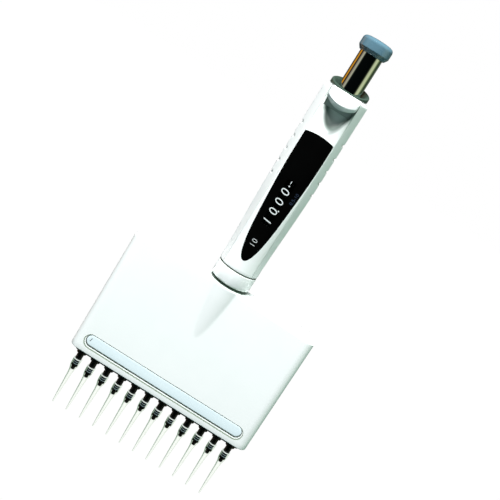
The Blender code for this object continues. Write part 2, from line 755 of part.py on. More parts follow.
def tips(frosted):
    """A thin tapered tube with a rim, a shoulder below the cone and a capillary end."""
    rim, end = TIP_RIM_Z, TIP_END_Z
    outline = [(2.5, rim), (2.4, rim - 1.1), (1.95, rim - 8.0), (1.35, rim - 10.0), (0.75, end + 6.0)]
    outline += [(0.42, end), (0.2, end), (1.0, rim - 10.0), (1.62, rim - 8.0), (2.05, rim)]
    for i, x in enumerate(channel_positions()):
        turned(f"tip_{i + 1:02d}", outline, frosted, (x, 0.0), SMALL_ROUND, rim)


def build():
    white = finish("white_plastic", (0.86, 0.88, 0.87), 0.35)
    pale = finish("pale_panel", (0.70, 0.77, 0.80), 0.3)
    black = finish("black_plastic", (0.012, 0.013, 0.013), 0.4)
    gloss_black = finish("gloss_black_label", (0.006, 0.007, 0.007), 0.1)
    dark = finish("dark_green_grey", (0.10, 0.16, 0.14), 0.3)
    blue_grey = finish("blue_grey_cap", (0.22, 0.36, 0.42), 0.4)
    inner_grey = finish("inner_grey", (0.32, 0.33, 0.34), 0.5)
    wheel_black = finish("wheel_black", (0.02, 0.02, 0.02), 0.5)
    frosted = finish("frosted_tip", (0.85, 0.87, 0.85), 0.3, transmission=0.7)
    clear = finish("clear_window", (0.9, 0.92, 0.92), 0.05, transmission=0.9)
    chrome = finish("chrome", (0.85, 0.85, 0.86), 0.05, metallic=1.0)
    steel = finish("steel", (0.55, 0.56, 0.58), 0.25, metallic=1.0)
    brass = finish("brass", (0.72, 0.52, 0.22), 0.3, metallic=1.0)

    handle_rear_shell(white)
    handle_front_shell(white)
    label_plate(gloss_black)
    display_window(clear)
    number_wheels(wheel_black)
    volume_lock_ring(dark)

    plunger_rod(steel)
    plunger_sleeve(chrome)
    plunger_cap(blue_grey)
    volume_stop(brass)
    coil("plunger_spring", 6.7, 0.9, 9, (LEDGE_SPRING_Z[1] + GAP, SLEEVE_Z[0] - GAP), steel)

    ejector_button(white)
    ejector_rod(inner_grey)
    coil("ejector_spring", 5.7, 0.8, 6, (LEDGE_LOW_Z[1] + GAP, FOOT_RING_Z[0] - GAP), steel)
    ejector_plate(black)

    swivel_collar(white)
    head_cover("head_front_cover", white, front=True)
    head_cover("head_rear_cover", white, front=False)
    id_panel(pale)
    cone_block(inner_grey)
    piston_bar(inner_grey)
    pistons(steel)
    tip_cones(black)
    tips(frosted)


clear_scene()
PARTS = new_collection("multichannel_pipette")
CUTTERS = new_collection("cutters")
build()
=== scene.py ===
"""The looks of a twelve-channel pipette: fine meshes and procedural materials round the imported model.

Sizes are in millimetres until a mesh is made. -Y is the front, +Z runs up the handle, X along the channels.
"""

import json
from functools import partial
from math import asin, atan2, copysign, cos, hypot, pi, radians, sin, sqrt, tan

import bmesh
import bpy
from mathutils import Matrix, Vector


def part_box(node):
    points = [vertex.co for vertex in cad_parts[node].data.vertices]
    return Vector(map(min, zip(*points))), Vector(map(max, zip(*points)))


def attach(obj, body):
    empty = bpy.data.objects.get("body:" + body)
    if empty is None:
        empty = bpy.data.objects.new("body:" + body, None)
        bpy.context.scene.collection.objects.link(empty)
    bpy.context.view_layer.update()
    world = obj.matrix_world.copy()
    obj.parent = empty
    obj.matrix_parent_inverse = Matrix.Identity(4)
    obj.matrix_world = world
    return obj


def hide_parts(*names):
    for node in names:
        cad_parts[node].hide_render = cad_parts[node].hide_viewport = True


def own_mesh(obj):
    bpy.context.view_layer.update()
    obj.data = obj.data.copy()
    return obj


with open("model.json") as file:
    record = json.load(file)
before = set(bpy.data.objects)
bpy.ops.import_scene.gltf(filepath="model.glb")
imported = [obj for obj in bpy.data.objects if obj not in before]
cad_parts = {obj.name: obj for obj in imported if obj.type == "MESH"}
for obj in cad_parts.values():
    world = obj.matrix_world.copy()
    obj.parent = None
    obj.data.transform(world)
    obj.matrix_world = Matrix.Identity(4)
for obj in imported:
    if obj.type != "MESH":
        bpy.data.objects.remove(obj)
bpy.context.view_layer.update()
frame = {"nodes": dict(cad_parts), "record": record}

MM = 0.001
SHARP = 32.0
CHANNELS = 12
PITCH = 9.0


def span(node):
    """A node's lowest and highest corners in millimetres."""
    low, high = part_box(node)
    return low / MM, high / MM


# Driving dimensions, from the frame where a node's box gives them

HEAD_LOW, HEAD_HIGH = span("head_rear_cover")
HEAD_HALF_WIDTH = HEAD_HIGH.x
HEAD_HALF_DEPTH = 10.5
HEAD_BOTTOM = HEAD_LOW.z
FAIRING_TOP = HEAD_HIGH.z
FAIRING_RISE = 1.1
HEAD_TOP = FAIRING_TOP - FAIRING_RISE
HEAD_CROWN = 1.1
HEAD_CORNER = 5.0
HEAD_WALL = 2.0
FAIRING_R = HEAD_HIGH.y
FAIRING_POINT = 43.6
CREASE_FILL = 0.35
SHOULDER = 2.6
SHOULDER_RUN = 2.8
PARTING = 0.15

PANEL_LOW, PANEL_HIGH = span("id_panel")
PANEL_Z = (PANEL_LOW.z + PANEL_HIGH.z) / 2
PANEL_R = (PANEL_HIGH.z - PANEL_LOW.z) / 2
PANEL_HALF_STRAIGHT = PANEL_HIGH.x - PANEL_R

SHELL_LOW, SHELL_HIGH = span("handle_rear_shell")
HANDLE_Z = SHELL_LOW.z
HANDLE_TOP = SHELL_HIGH.z
HANDLE_FULL_Z = 145.0
HANDLE_BACK_FULL_Z = 132.0
HANDLE_LOW_R = 11.6
HANDLE_HALF_WIDTH = SHELL_HIGH.x
HANDLE_FRONT = 13.2
HANDLE_BACK = 15.2
SQUARENESS = 2.5
SEAM_X = 9.0
SEAM_GAP = 0.10
SHELL_WALL = 1.8
PANEL_WALL = 0.9
FRONT_TOP = 185.7
TOP_EDGE = 2.2
TOP_INSET = 2.6

LABEL_LOW = 94.3
LABEL_CORNER = 170.4
LABEL_TOP = span("label_plate")[1].z
LABEL_TOP_HALF = 8.6
LABEL_TIP_HALF = 5.8
LABEL_PROUD = 0.10

WINDOW_LOW, WINDOW_HIGH = span("display_window")
WINDOW_Z = (WINDOW_LOW.z + WINDOW_HIGH.z) / 2
WINDOW_HALF_Z = (WINDOW_HIGH.z - WINDOW_LOW.z) / 2
WHEEL_R = span("number_wheel_ones")[1].x
WHEELS_TOP = span("number_wheel_hundredths")[1].z

SLEEVE_LOW, SLEEVE_HIGH = span("plunger_sleeve")
CAP_LOW, CAP_HIGH = span("plunger_cap")
LOCK_LOW, LOCK_HIGH = span("volume_lock_ring")
COLLAR_LOW, COLLAR_HIGH = span("swivel_collar")
BUTTON_LOW, BUTTON_HIGH = span("ejector_button")
PLATE_LOW, PLATE_HIGH = span("ejector_plate")
TIP_LOW, TIP_HIGH = span("tip_01")
CONE_LOW, CONE_HIGH = span("tip_cone_01")


def channels():
    """Each channel's number, as its pieces' names have it, and its x."""
    return [(f"{i + 1:02d}", (i - (CHANNELS - 1) / 2) * PITCH) for i in range(CHANNELS)]


def smooth_step(t):
    t = min(max(t, 0.0), 1.0)
    return t * t * (3 - 2 * t)


def assign(thing, **values):
    """Sets a thing's attributes by their names."""
    for name, value in values.items():
        setattr(thing, name, value)
    return thing


def steps_between(low, high, count):
    return [low + (high - low) * i / count for i in range(count + 1)]


def quarter(steps):
    """The angles of equal steps through a right angle."""
    return [pi / 2 * k / steps for k in range(steps + 1)]


def circle(steps):
    """The cosines and sines of equal steps round a circle."""
    return [(cos(2 * pi * k / steps), sin(2 * pi * k / steps)) for k in range(steps)]


# Materials


def feed(tree, socket, value):
    """Gives a socket another node's output, a number or a colour."""
    if isinstance(value, bpy.types.NodeSocket):
        tree.links.new(value, socket)
    else:
        socket.default_value = (*value, 1.0) if isinstance(value, tuple) else value


def tune(tree, made, **inputs):
    """Feeds a node's inputs by their names, with _ for a space."""
    for name, value in inputs.items():
        feed(tree, made.inputs[name.replace("_", " ")], value)
    return made


def node(tree, kind, **inputs):
    return tune(tree, tree.nodes.new(kind), **inputs)


def new_material(name):
    material = bpy.data.materials.new(name)
    material.use_nodes = True
    tree = material.node_tree
    return material, tree, tree.nodes["Principled BSDF"]


def place_parts(tree, output="Object"):
    """The x, y and z outputs of a texture coordinate."""
    coordinate = tree.nodes.new("ShaderNodeTexCoord")
    return node(tree, "ShaderNodeSeparateXYZ", Vector=coordinate.outputs[output]).outputs


def noise(tree, scale, detail=3.0, stretch=(1.0, 1.0, 1.0)):
    """A noise texture in the object's own metres, stretched along an axis if asked."""
    coordinate = tree.nodes.new("ShaderNodeTexCoord")
    mapping = node(tree, "ShaderNodeMapping", Vector=coordinate.outputs["Object"])
    mapping.inputs["Scale"].default_value = stretch
    texture = node(tree, "ShaderNodeTexNoise", Vector=mapping.outputs["Vector"], Scale=scale, Detail=detail)
    return texture.outputs["Fac"]


def ranged(tree, value, low, high, start=0.3, end=0.7, kind="LINEAR"):
    """A value spread over a range. It runs from 0.3 to 0.7, as a noise does, unless told otherwise."""
    spread = assign(tree.nodes.new("ShaderNodeMapRange"), interpolation_type=kind)
    for index, number in enumerate((value, start, end, low, high)):
        feed(tree, spread.inputs[index], number)
    return spread.outputs[0]


def smoothed(tree, value, start, end):
    """Zero below the start, one past the end and a smooth step between them."""
    return ranged(tree, value, 0.0, 1.0, start, end, "SMOOTHSTEP")


def mixed(tree, share, first, second, kind="MIX"):
    """A mix or a sum of two colours. Each is a colour or another node's output."""
    mix = assign(tree.nodes.new("ShaderNodeMix"), data_type="RGBA", blend_type=kind)
    for index, value in ((0, share), (6, first), (7, second)):
        feed(tree, mix.inputs[index], value)
    return mix.outputs[2]


def figured(tree, operation, first, second=0.0, clamp=False):
    """A calculation on two values. Each is a number or another node's output."""
    made = assign(tree.nodes.new("ShaderNodeMath"), operation=operation, use_clamp=clamp)
    feed(tree, made.inputs[0], first)
    feed(tree, made.inputs[1], second)
    return made.outputs[0]


def bumped(tree, shader, height, depth_mm):
    bump = node(tree, "ShaderNodeBump", Strength=1.0, Distance=depth_mm * MM, Height=height)
    tree.links.new(bump.outputs["Normal"], shader.inputs["Normal"])


def end_with(tree, share, first, second):
    """Ends a material with a mix of two shaders."""
    both = tree.nodes.new("ShaderNodeMixShader")
    for socket, value in zip(both.inputs, (share, first.outputs[0], second.outputs[0])):
        tree.links.new(value, socket)
    tree.links.new(both.outputs[0], tree.nodes["Material Output"].inputs["Surface"])


def scoop_dust(tree):
    """How strongly a painted shadow darkens the thumb scoop: most in the V of its lower end, which leans to
    the right.
    """
    middle, lean, bend, strongest = 2.2, 1.4, 0.16, 0.9
    figure = partial(figured, tree)
    x, _, z = place_parts(tree)
    across = figure("SUBTRACT", figure("DIVIDE", x, MM), middle)
    side = figure("MAXIMUM", figure("MULTIPLY", across, -1.0), figure("MULTIPLY", across, lean))
    border = figure("ADD", figure("MULTIPLY", figure("MULTIPLY", side, side), bend), SCOOP_LOW)
    above = figure("SUBTRACT", figure("DIVIDE", z, MM), border)
    shadow_share = figure("SUBTRACT", smoothed(tree, above, -1.5, 4.0), smoothed(tree, above, 3.0, 12.0))
    return figure("MULTIPLY", shadow_share, strongest)


def moulded(name, colour, shade, roughness, coat=0.0, painted_crevice_shade=0.0, sheen=0.5, painted_glow=0.0, outline=None,
            scoop_shadow_colour=None):
    """Moulded plastic: slow colour drift, uneven gloss, a fine moulding grain, painted shade in crevices and,
    if asked, a painted glow.

    The outline colour is painted edge shade where the surface turns away from the eye; the last colour is the
    painted shadow in the thumb scoop.
    """
    material, tree, shader = new_material(name)
    base = mixed(tree, ranged(tree, noise(tree, 60.0), 0.0, 1.0), colour, shade)
    # Painted shade: crevices darken by ambient occlusion towards a greenish shade of the colour.
    if painted_crevice_shade:
        hollow = node(tree, "ShaderNodeAmbientOcclusion", Distance=6 * MM)
        darkest = tuple(c * (1 - painted_crevice_shade) * tint for c, tint in zip(shade, (0.75, 1.0, 0.8)))
        base = mixed(tree, hollow.outputs["AO"], darkest, base)
    # Painted shade: the colour darkens to the outline colour where the surface turns away from the eye.
    if outline:
        edge = node(tree, "ShaderNodeLayerWeight", Blend=0.5)
        base = mixed(tree, smoothed(tree, edge.outputs["Facing"], 0.84, 1.0), base, outline)
    if scoop_shadow_colour:
        # Painted shadow: the thumb scoop darkens towards the given colour in a V under the pad.
        base = mixed(tree, scoop_dust(tree), base, scoop_shadow_colour)
    gloss = ranged(tree, noise(tree, 400.0), roughness * 0.85, roughness * 1.15)
    tune(tree, shader, Base_Color=base, Roughness=gloss, Coat_Weight=coat, Coat_Roughness=0.08,
         Specular_IOR_Level=sheen)
    # Painted light: the part glows, though it is no lamp.
    if painted_glow:
        tune(tree, shader, Emission_Color=base, Emission_Strength=painted_glow)
    bumped(tree, shader, noise(tree, 2600.0), 0.004)
    return material


def metal(name, colour, shade, roughness, stretch, scratch_depth):
    """Bare metal with fine marks along one direction."""
    material, tree, shader = new_material(name)
    marks = noise(tree, 900.0, 4.0, stretch)
    tune(tree, shader, Base_Color=mixed(tree, noise(tree, 150.0), colour, shade), Metallic=1.0,
         Roughness=ranged(tree, marks, roughness * 0.7, roughness * 1.4))
    bumped(tree, shader, marks, scratch_depth)
    return material


def frosted_plastic(name):
    """Natural polypropylene: nearly clear where it faces the eye and grey-green at its edges, with painted
    shade darker on each tip's left edge than on its right, and a painted glow.
    """
    material, tree, shader = new_material(name)
    tone = mixed(tree, ranged(tree, noise(tree, 300.0), 0.0, 1.0), (0.80, 0.86, 0.78), (0.86, 0.90, 0.84))
    # Painted light: the tips glow a little, though they are no lamps.
    tune(tree, shader, Base_Color=tone, Emission_Color=tone, Emission_Strength=0.25, Roughness=0.3)
    edge = node(tree, "ShaderNodeLayerWeight", Blend=0.5)
    rise = smoothed(tree, edge.outputs["Facing"], 0.12, 0.8)
    across = figured(tree, "FRACT", figured(tree, "DIVIDE", place_parts(tree)[0], PITCH * MM))
    # Painted shade: each tip's left edge is darker than its right.
    shaded_left_edge, lit_right_edge = (0.50, 0.60, 0.51), (0.91, 0.94, 0.90)
    side = mixed(tree, smoothed(tree, across, 0.49, 0.51), shaded_left_edge, lit_right_edge)
    clear = node(tree, "ShaderNodeBsdfTransparent", Color=mixed(tree, rise, (0.985, 0.995, 0.98), side))
    end_with(tree, figured(tree, "MULTIPLY", rise, 0.05), clear, shader)
    return material


def window_plastic(name):
    """A thin clear window: it lets light straight through and reflects a little."""
    material, tree, shader = new_material(name)
    tone = mixed(tree, noise(tree, 90.0), (0.9, 0.93, 0.93), (0.95, 0.96, 0.96))
    tune(tree, shader, Base_Color=tone, Roughness=0.05)
    edge = node(tree, "ShaderNodeFresnel", IOR=1.45)
    clear = node(tree, "ShaderNodeBsdfTransparent", Color=(0.93, 0.95, 0.95))
    end_with(tree, edge.outputs[0], clear, node(tree, "ShaderNodeBsdfGlossy", Roughness=0.03))
    return material


# Name, colour, the shade it drifts to, roughness and the rest
WHITE = ((0.885, 0.905, 0.905), (0.865, 0.89, 0.89), 0.36)
# A clear coat, and painted edge shade where the surface turns away from the eye.
WHITE_EDGE = {"coat": 0.12, "outline": (0.42, 0.53, 0.45)}
PLASTICS = (
    ("white_plastic", *WHITE, {"painted_crevice_shade": 0.7, **WHITE_EDGE}),
    # The front panel: a painted shadow in its thumb scoop and less painted crevice shade.
    ("scooped_plastic", *WHITE, {"painted_crevice_shade": 0.2, "scoop_shadow_colour": (0.06, 0.10, 0.08), **WHITE_EDGE}),
    ("collar_plastic", *WHITE, {"painted_crevice_shade": 0.5, **WHITE_EDGE}),
    ("pale_panel", (0.79, 0.89, 0.93), (0.75, 0.86, 0.91), 0.28, {"coat": 0.15}),
    ("black_plastic", (0.004, 0.005, 0.006), (0.007, 0.008, 0.009), 0.38, {"sheen": 0.35}),
    ("gloss_black_label", (0.0010, 0.0010, 0.0010), (0.0016, 0.0016, 0.0016), 0.10, {"sheen": 0.03}),
    ("dark_green_grey", (0.034, 0.058, 0.045), (0.044, 0.070, 0.055), 0.35, {"sheen": 0.25}),
    ("blue_grey_cap", (0.085, 0.165, 0.215), (0.07, 0.145, 0.19), 0.30, {"coat": 0.5}),
    ("inner_grey", (0.30, 0.31, 0.32), (0.34, 0.35, 0.36), 0.5, {}),
    ("wheel_black", (0.002, 0.002, 0.002), (0.003, 0.003, 0.003), 0.5, {"sheen": 0.1}),
    # Painted light: the digits, print, cone seals and tip rims glow, though they are no lamps.
    ("digit_white", (0.86, 0.90, 0.90), (0.78, 0.83, 0.83), 0.6, {"painted_glow": 1.0}),
    ("print_white", (0.70, 0.74, 0.75), (0.62, 0.66, 0.68), 0.6, {"sheen": 0.2, "painted_glow": 0.12}),
    ("seal_grey", (0.42, 0.52, 0.58), (0.36, 0.46, 0.52), 0.4, {"painted_glow": 0.35}),
    ("tip_rim_white", (0.86, 0.90, 0.85), (0.82, 0.86, 0.80), 0.4, {"painted_glow": 0.75}),
    # Painted shade: dark pieces in the insert's grooves and in the swivel gap.
    ("shade_line_dark", (0.030, 0.042, 0.024), (0.040, 0.055, 0.032), 0.6, {"sheen": 0.1}),
    ("shade_line_olive", (0.27, 0.33, 0.25), (0.31, 0.37, 0.29), 0.6, {"sheen": 0.1}),
    ("mark_grey", (0.10, 0.12, 0.13), (0.13, 0.15, 0.16), 0.5, {}),
    ("mark_dim", (0.035, 0.048, 0.085), (0.028, 0.040, 0.070), 0.6, {"sheen": 0.1}),
)
# Name, colour, shade, roughness, the stretch of its marks and their depth
METALS = (
    ("chrome", (0.80, 0.80, 0.78), (0.74, 0.74, 0.73), 0.05, (1.0, 1.0, 0.1), 0.0004),
    ("steel", (0.56, 0.57, 0.58), (0.50, 0.51, 0.53), 0.25, (1.0, 1.0, 0.05), 0.002),
    ("brass", (0.72, 0.52, 0.22), (0.64, 0.45, 0.18), 0.3, (0.1, 0.1, 1.0), 0.002),
)


def make_finishes():
    finishes = {name: moulded(name, *looks, **rest) for name, *looks, rest in PLASTICS}
    finishes["frosted_tip"] = frosted_plastic("frosted_tip")
    finishes["clear_window"] = window_plastic("clear_window")
    return finishes | {name: metal(name, *looks) for name, *looks in METALS}


# Mesh helpers


def to_mesh(bm, sharp=SHARP):
    """Turns millimetres into metres and a bmesh into a smooth mesh whose hard edges stay sharp."""
    bmesh.ops.scale(bm, vec=(MM, MM, MM), verts=bm.verts)
    mesh = bpy.data.meshes.new("mesh")
    bm.to_mesh(mesh)
    bm.free()
    mesh.shade_smooth()
    mesh.set_sharp_from_angle(angle=radians(sharp))
    return mesh


def linked(name, data):
    """A new object in the scene."""
    obj = bpy.data.objects.new(name, data)
    bpy.context.scene.collection.objects.link(obj)
    return obj


def place(name, mesh, body, finish, *stands_for):
    """Makes a piece of a mesh: it rides on a body, has a finish and may stand for CAD nodes."""
    obj = linked(name, mesh)
    mesh.name = name
    mesh.materials.clear()
    mesh.materials.append(FINISHES[finish])
    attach(obj, body)
    if stands_for:
        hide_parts(*stands_for)
    return obj


def filleted(corners, steps=4):
    """Rounds an outline's corners. A corner is (u, v) or (u, v, radius)."""
    rounded = []
    for i, corner in enumerate(corners):
        here = Vector(corner[:2])
        radius = corner[2] if len(corner) > 2 else 0.0
        if not radius:
            rounded.append(tuple(here))
            continue
        before = (Vector(corners[i - 1][:2]) - here).normalized()
        after = (Vector(corners[(i + 1) % len(corners)][:2]) - here).normalized()
        half = before.angle(after) / 2
        centre = here + (before + after).normalized() * radius / sin(half)
        start = here + before * radius / tan(half) - centre
        end = here + after * radius / tan(half) - centre
        turn = start.angle_signed(end)
        for k in range(steps + 1):
            arm = start.copy()
            arm.rotate(Matrix.Rotation(-turn * k / steps, 2))
            rounded.append(tuple(centre + arm))
    return rounded


def add_turned(bm, profile, steps, centre=(0.0, 0.0)):
    """Turns (radius, z) points about Z into a closed solid. A profile that starts on the axis ends on it."""
    cx, cy = centre
    rings = []
    for r, z in profile:
        if r < 1e-6:
            rings.append([bm.verts.new((cx, cy, z))])
        else:
            rings.append([bm.verts.new((cx + r * c, cy + r * s, z)) for c, s in circle(steps)])
    pairs = list(zip(rings, rings[1:]))
    if profile[0][0] > 1e-6:
        pairs.append((rings[-1], rings[0]))
    faces = []
    for upper, lower in pairs:
        for k in range(steps):
            n = (k + 1) % steps
            corners = [ring[i % len(ring)] for ring, i in ((upper, k), (upper, n), (lower, n), (lower, k))]
            corners = list(dict.fromkeys(corners))
            if len(corners) > 2:
                faces.append(bm.faces.new(corners))
    bmesh.ops.recalc_face_normals(bm, faces=faces)


def turned(profile, steps=96, centre=(0.0, 0.0)):
    bm = bmesh.new()
    add_turned(bm, profile, steps, centre)
    return to_mesh(bm)


def add_loft(bm, rows, closed=False):
    """A tube through equal loops of points. Its ends are filled, or joined to each other."""
    loops = [[bm.verts.new(p) for p in row] for row in rows]
    count = len(loops[0])
    faces = [] if closed else [bm.faces.new(loops[0]), bm.faces.new(loops[-1])]
    for first, second in zip(loops, loops[1:] + loops[:1] if closed else loops[1:]):
        for j in range(count):
            n = (j + 1) % count
            faces.append(bm.faces.new((first[j], first[n], second[n], second[j])))
    bmesh.ops.recalc_face_normals(bm, faces=faces)


def lofted(rows, sharp=SHARP, closed=False):
    bm = bmesh.new()
    add_loft(bm, rows, closed)
    return to_mesh(bm, sharp)


def between(outer, inner):
    """A closed solid between two equal grids of points."""
    bm = bmesh.new()
    out, back = [[[bm.verts.new(p) for p in row] for row in grid] for grid in (outer, inner)]
    rows, columns = range(len(out) - 1), range(len(out[0]) - 1)
    for grid in (out, back):
        for i in rows:
            for j in columns:
                bm.faces.new((grid[i][j], grid[i][j + 1], grid[i + 1][j + 1], grid[i + 1][j]))
    for i in rows:
        for j in (0, -1):
            bm.faces.new((out[i][j], out[i + 1][j], back[i + 1][j], back[i][j]))
    for j in columns:
        for i in (0, -1):
            bm.faces.new((out[i][j], out[i][j + 1], back[i][j + 1], back[i][j]))
    bmesh.ops.recalc_face_normals(bm, faces=bm.faces)
    return to_mesh(bm)


def add_box(bm, low, high):
    made = bmesh.ops.create_cube(bm, size=1.0)["verts"]
    low, high = Vector(low), Vector(high)
    bmesh.ops.scale(bm, vec=high - low, verts=made)
    bmesh.ops.translate(bm, vec=(high + low) / 2, verts=made)


def boxes(*corner_pairs):
    bm = bmesh.new()
    for low, high in corner_pairs:
        add_box(bm, low, high)
    return to_mesh(bm)


def carve(mesh, *cutters):
    """Cuts meshes out of a mesh and gives the finished mesh."""
    work = linked("carving", mesh)
    helpers = [linked("cutter", cutter) for cutter in cutters]
    for helper in helpers:
        assign(work.modifiers.new("cut", "BOOLEAN"), operation="DIFFERENCE", object=helper)
    graph = bpy.context.evaluated_depsgraph_get()
    result = bpy.data.meshes.new_from_object(work.evaluated_get(graph))
    for obj in [work, *helpers]:
        bpy.data.objects.remove(obj)
    result.shade_smooth()
    result.set_sharp_from_angle(angle=radians(SHARP))
    return result


def stadium(half_straight, radius, centre_z, y, steps=20):
    """A stadium outline in an XZ plane, as a loop of points."""
    loop = []
    for side in (1, -1):
        for k in range(steps + 1):
            angle = -pi / 2 + pi * k / steps
            x = side * (half_straight + radius * cos(angle))
            loop.append(Vector((x, y, centre_z + side * radius * sin(angle))))
    return loop


def rounded_rectangle(half_u, half_v, radius, steps, inset=0.0):
    """The points of a rectangle with round corners, pulled in by an inset."""
    points = []
    for su, sv, first in ((1, 1, 0.0), (-1, 1, 0.5), (-1, -1, 1.0), (1, -1, 1.5)):
        for k in range(steps + 1):
            a = pi * (first + 0.5 * k / steps)
            u = su * (half_u - radius) + (radius - inset) * cos(a)
            points.append((u, sv * (half_v - radius) + (radius - inset) * sin(a)))
    return points


# Head


def head_profile_rows():
    """Rows up the head's casing and over its top, each as outer inset, outer z, inner inset and inner z."""
    rim, edge, fine_from = 0.5, 0.35, 38.0
    deepest = HEAD_HALF_DEPTH - PARTING
    height = HEAD_TOP - HEAD_BOTTOM
    low, high = HEAD_BOTTOM + rim, HEAD_TOP - edge
    rows = [(rim * (1 - sin(a)), HEAD_BOTTOM + rim * (1 - cos(a))) for a in quarter(4)]
    rows += [(0.0, z) for z in steps_between(low, fine_from, 12)[1:]]
    rows += [(0.0, z) for z in steps_between(fine_from, high, 40)[1:]]
    rows += [(edge * (1 - cos(a)), high + edge * sin(a)) for a in quarter(6)[1:]]
    rows += [(i, HEAD_TOP) for i in steps_between(edge, deepest, 16)[1:]]
    inner_share = (deepest - HEAD_WALL) / deepest
    squeeze = (height - HEAD_WALL) / height
    return [(i, z, HEAD_WALL + i * inner_share, HEAD_BOTTOM + (z - HEAD_BOTTOM) * squeeze) for i, z in rows]


def head_outline(inset):
    """Half of a rounded rectangle, from the parting plane at +X round the front to the one at -X."""
    fine = 15.0
    corner = max(HEAD_CORNER - inset, 0.02)
    side, face = HEAD_HALF_WIDTH - inset, HEAD_HALF_DEPTH - inset
    straight, reach = face - corner, side - corner
    half = [(side, -PARTING - (straight - PARTING) * t) for t in (0.0, 0.12, 0.3, 0.6)]
    half += [(reach + corner * cos(a), -straight - corner * sin(a)) for a in quarter(10)]
    half += [(x, -face) for x in steps_between(reach, fine, 14)[1:]]
    half += [(x, -face) for x in steps_between(fine, 0.0, 30)[1:-1]]
    return half + [(0.0, -face)] + [(-x, y) for x, y in reversed(half)]


def fairing_depth(z, inset):
    """The fairing's radius at a height."""
    rise = (z - FAIRING_POINT) / (FAIRING_TOP - FAIRING_POINT)
    return HEAD_HALF_DEPTH + rise * (FAIRING_R - HEAD_HALF_DEPTH) - inset


def softer_of(a, b, softness):
    """The larger of two depths, with the crease between them filled."""
    if abs(a - b) >= softness:
        return max(a, b)
    return max(a, b) + (softness - abs(a - b)) ** 2 / (4 * softness)


def head_point(x, y, z, inset):
    """A point of the rounded casing, with the crown and the fairing added."""
    share = (z - HEAD_BOTTOM) / (HEAD_TOP - HEAD_BOTTOM)
    z -= HEAD_CROWN * (x / HEAD_HALF_WIDTH) ** 2 * share
    depth = -y
    radius = fairing_depth(min(z, HEAD_TOP), min(inset, 2.0))
    if inset <= 2.0 and radius > abs(x):
        ring = sqrt(radius * radius - x * x)
        depth = softer_of(depth, ring, CREASE_FILL * smooth_step((z - FAIRING_POINT + 6) / 20))
    raised = smooth_step((FAIRING_R + SHOULDER - hypot(x, depth)) / SHOULDER_RUN)
    z += FAIRING_RISE * raised * smooth_step((z - HEAD_TOP) / 8 + 1)
    return Vector((x, -depth, z))


def head_half():
    """The casing's outer and inner points. Its front edge at the parting is drawn in a little."""
    outer, inner = [], []
    for inset, z, inner_inset, inner_z in head_profile_rows():
        outer.append([head_point(x, y, z, inset) for x, y in head_outline(inset)])
        crown = HEAD_CROWN * (inner_z - HEAD_BOTTOM) / (HEAD_TOP - HEAD_BOTTOM)
        outline = head_outline(inner_inset)
        inner.append([Vector((x, y, inner_z - crown * (x / HEAD_HALF_WIDTH) ** 2)) for x, y in outline])
    end_in, next_in = 0.22, 0.05
    for row in outer:
        for end, side in ((0, 1), (-1, -1)):
            row[end].x -= side * end_in
            row[end + side].x -= side * next_in
    return outer, inner


SEAT_Z = PANEL_Z - 0.17
SEAT_R = PANEL_R + 0.46
BAND = 0.80
BAND_RISE = 0.56


def seat_ring(share, depth):
    """A loop between the insert's outline, at 0, and the seat's border, at 1, below the face by a depth."""
    radius = SEAT_R - BAND * (1 - share)
    straight = PANEL_HALF_STRAIGHT - 0.15 * (1 - share)
    return stadium(straight, radius, SEAT_Z + BAND_RISE * (1 - share), depth - HEAD_HALF_DEPTH)


def panel_seat():
    """The cutter for the insert's seat: a thin groove, a sloped band inside it, then the seat."""
    steps = ((1.4, -1.0), (1.4, 0.35), (1.0, 0.55), (0.90, 0.50), (0.86, 0.10), (0.28, 0.20), (0.24, 1.1),
             (0.0, 1.1))
    return lofted([seat_ring(share, depth) for share, depth in steps])


def neck_way():
    """The cutter for the way through the top of the head."""
    radius, top, foot = 7.4, 90.0, 60.0
    return turned([(0.0, top), (radius, top), (radius, foot), (0.0, foot)])


def make_head():
    outer, inner = head_half()
    front = carve(between(outer, inner), panel_seat(), neck_way())
    place("head_front_skin", front, "head", "white_plastic", "head_front_cover")
    turn = Matrix.Diagonal((1.0, -1.0, 1.0))
    outer, inner = [[[turn @ p for p in row] for row in grid] for grid in (outer, inner)]
    rear = carve(between(outer, inner), neck_way())
    place("head_rear_skin", rear, "head", "white_plastic", "head_rear_cover")


def make_gaskets():
    """Two dark lines of painted shade round the insert: one in the outer groove and one in the gap at the
    insert's edge.
    """
    for name, finish, outer, inner, sunk in (("insert_outer_shade_line", "shade_line_olive", 1.42, 0.92, 0.02),
                                             ("insert_inner_shade_line", "shade_line_dark", 0.26, -0.05, 0.10)):
        corners = ((outer, sunk), (inner, sunk), (inner, 1.0), (outer, 1.0))
        place(name, lofted([seat_ring(*corner) for corner in corners], closed=True), "head", finish)


def make_panel():
    """The pale insert, with a rounded edge."""
    sunk = 0.12
    steps = ((0.0, 0.9), (0.0, 0.22), (0.05, 0.10), (0.15, 0.03), (0.35, 0.0), (1.8, -0.03), (3.0, -0.04))
    rows = [seat_ring(-0.05 - shrink / BAND, sunk + depth) for shrink, depth in steps]
    place("id_panel_skin", lofted(rows), "head", "pale_panel", "id_panel")
    flat = Matrix.Translation((-PANEL_HALF_STRAIGHT - 0.9, sunk - 0.04 - HEAD_HALF_DEPTH, PANEL_Z + 0.6))
    flat = flat @ Matrix.Rotation(pi / 2, 4, "X")
    place_number("channel_mark", "1", 2.0, lambda p: flat @ p, "head", "mark_grey", 0.3, 0.08)


# Text that is only numbers


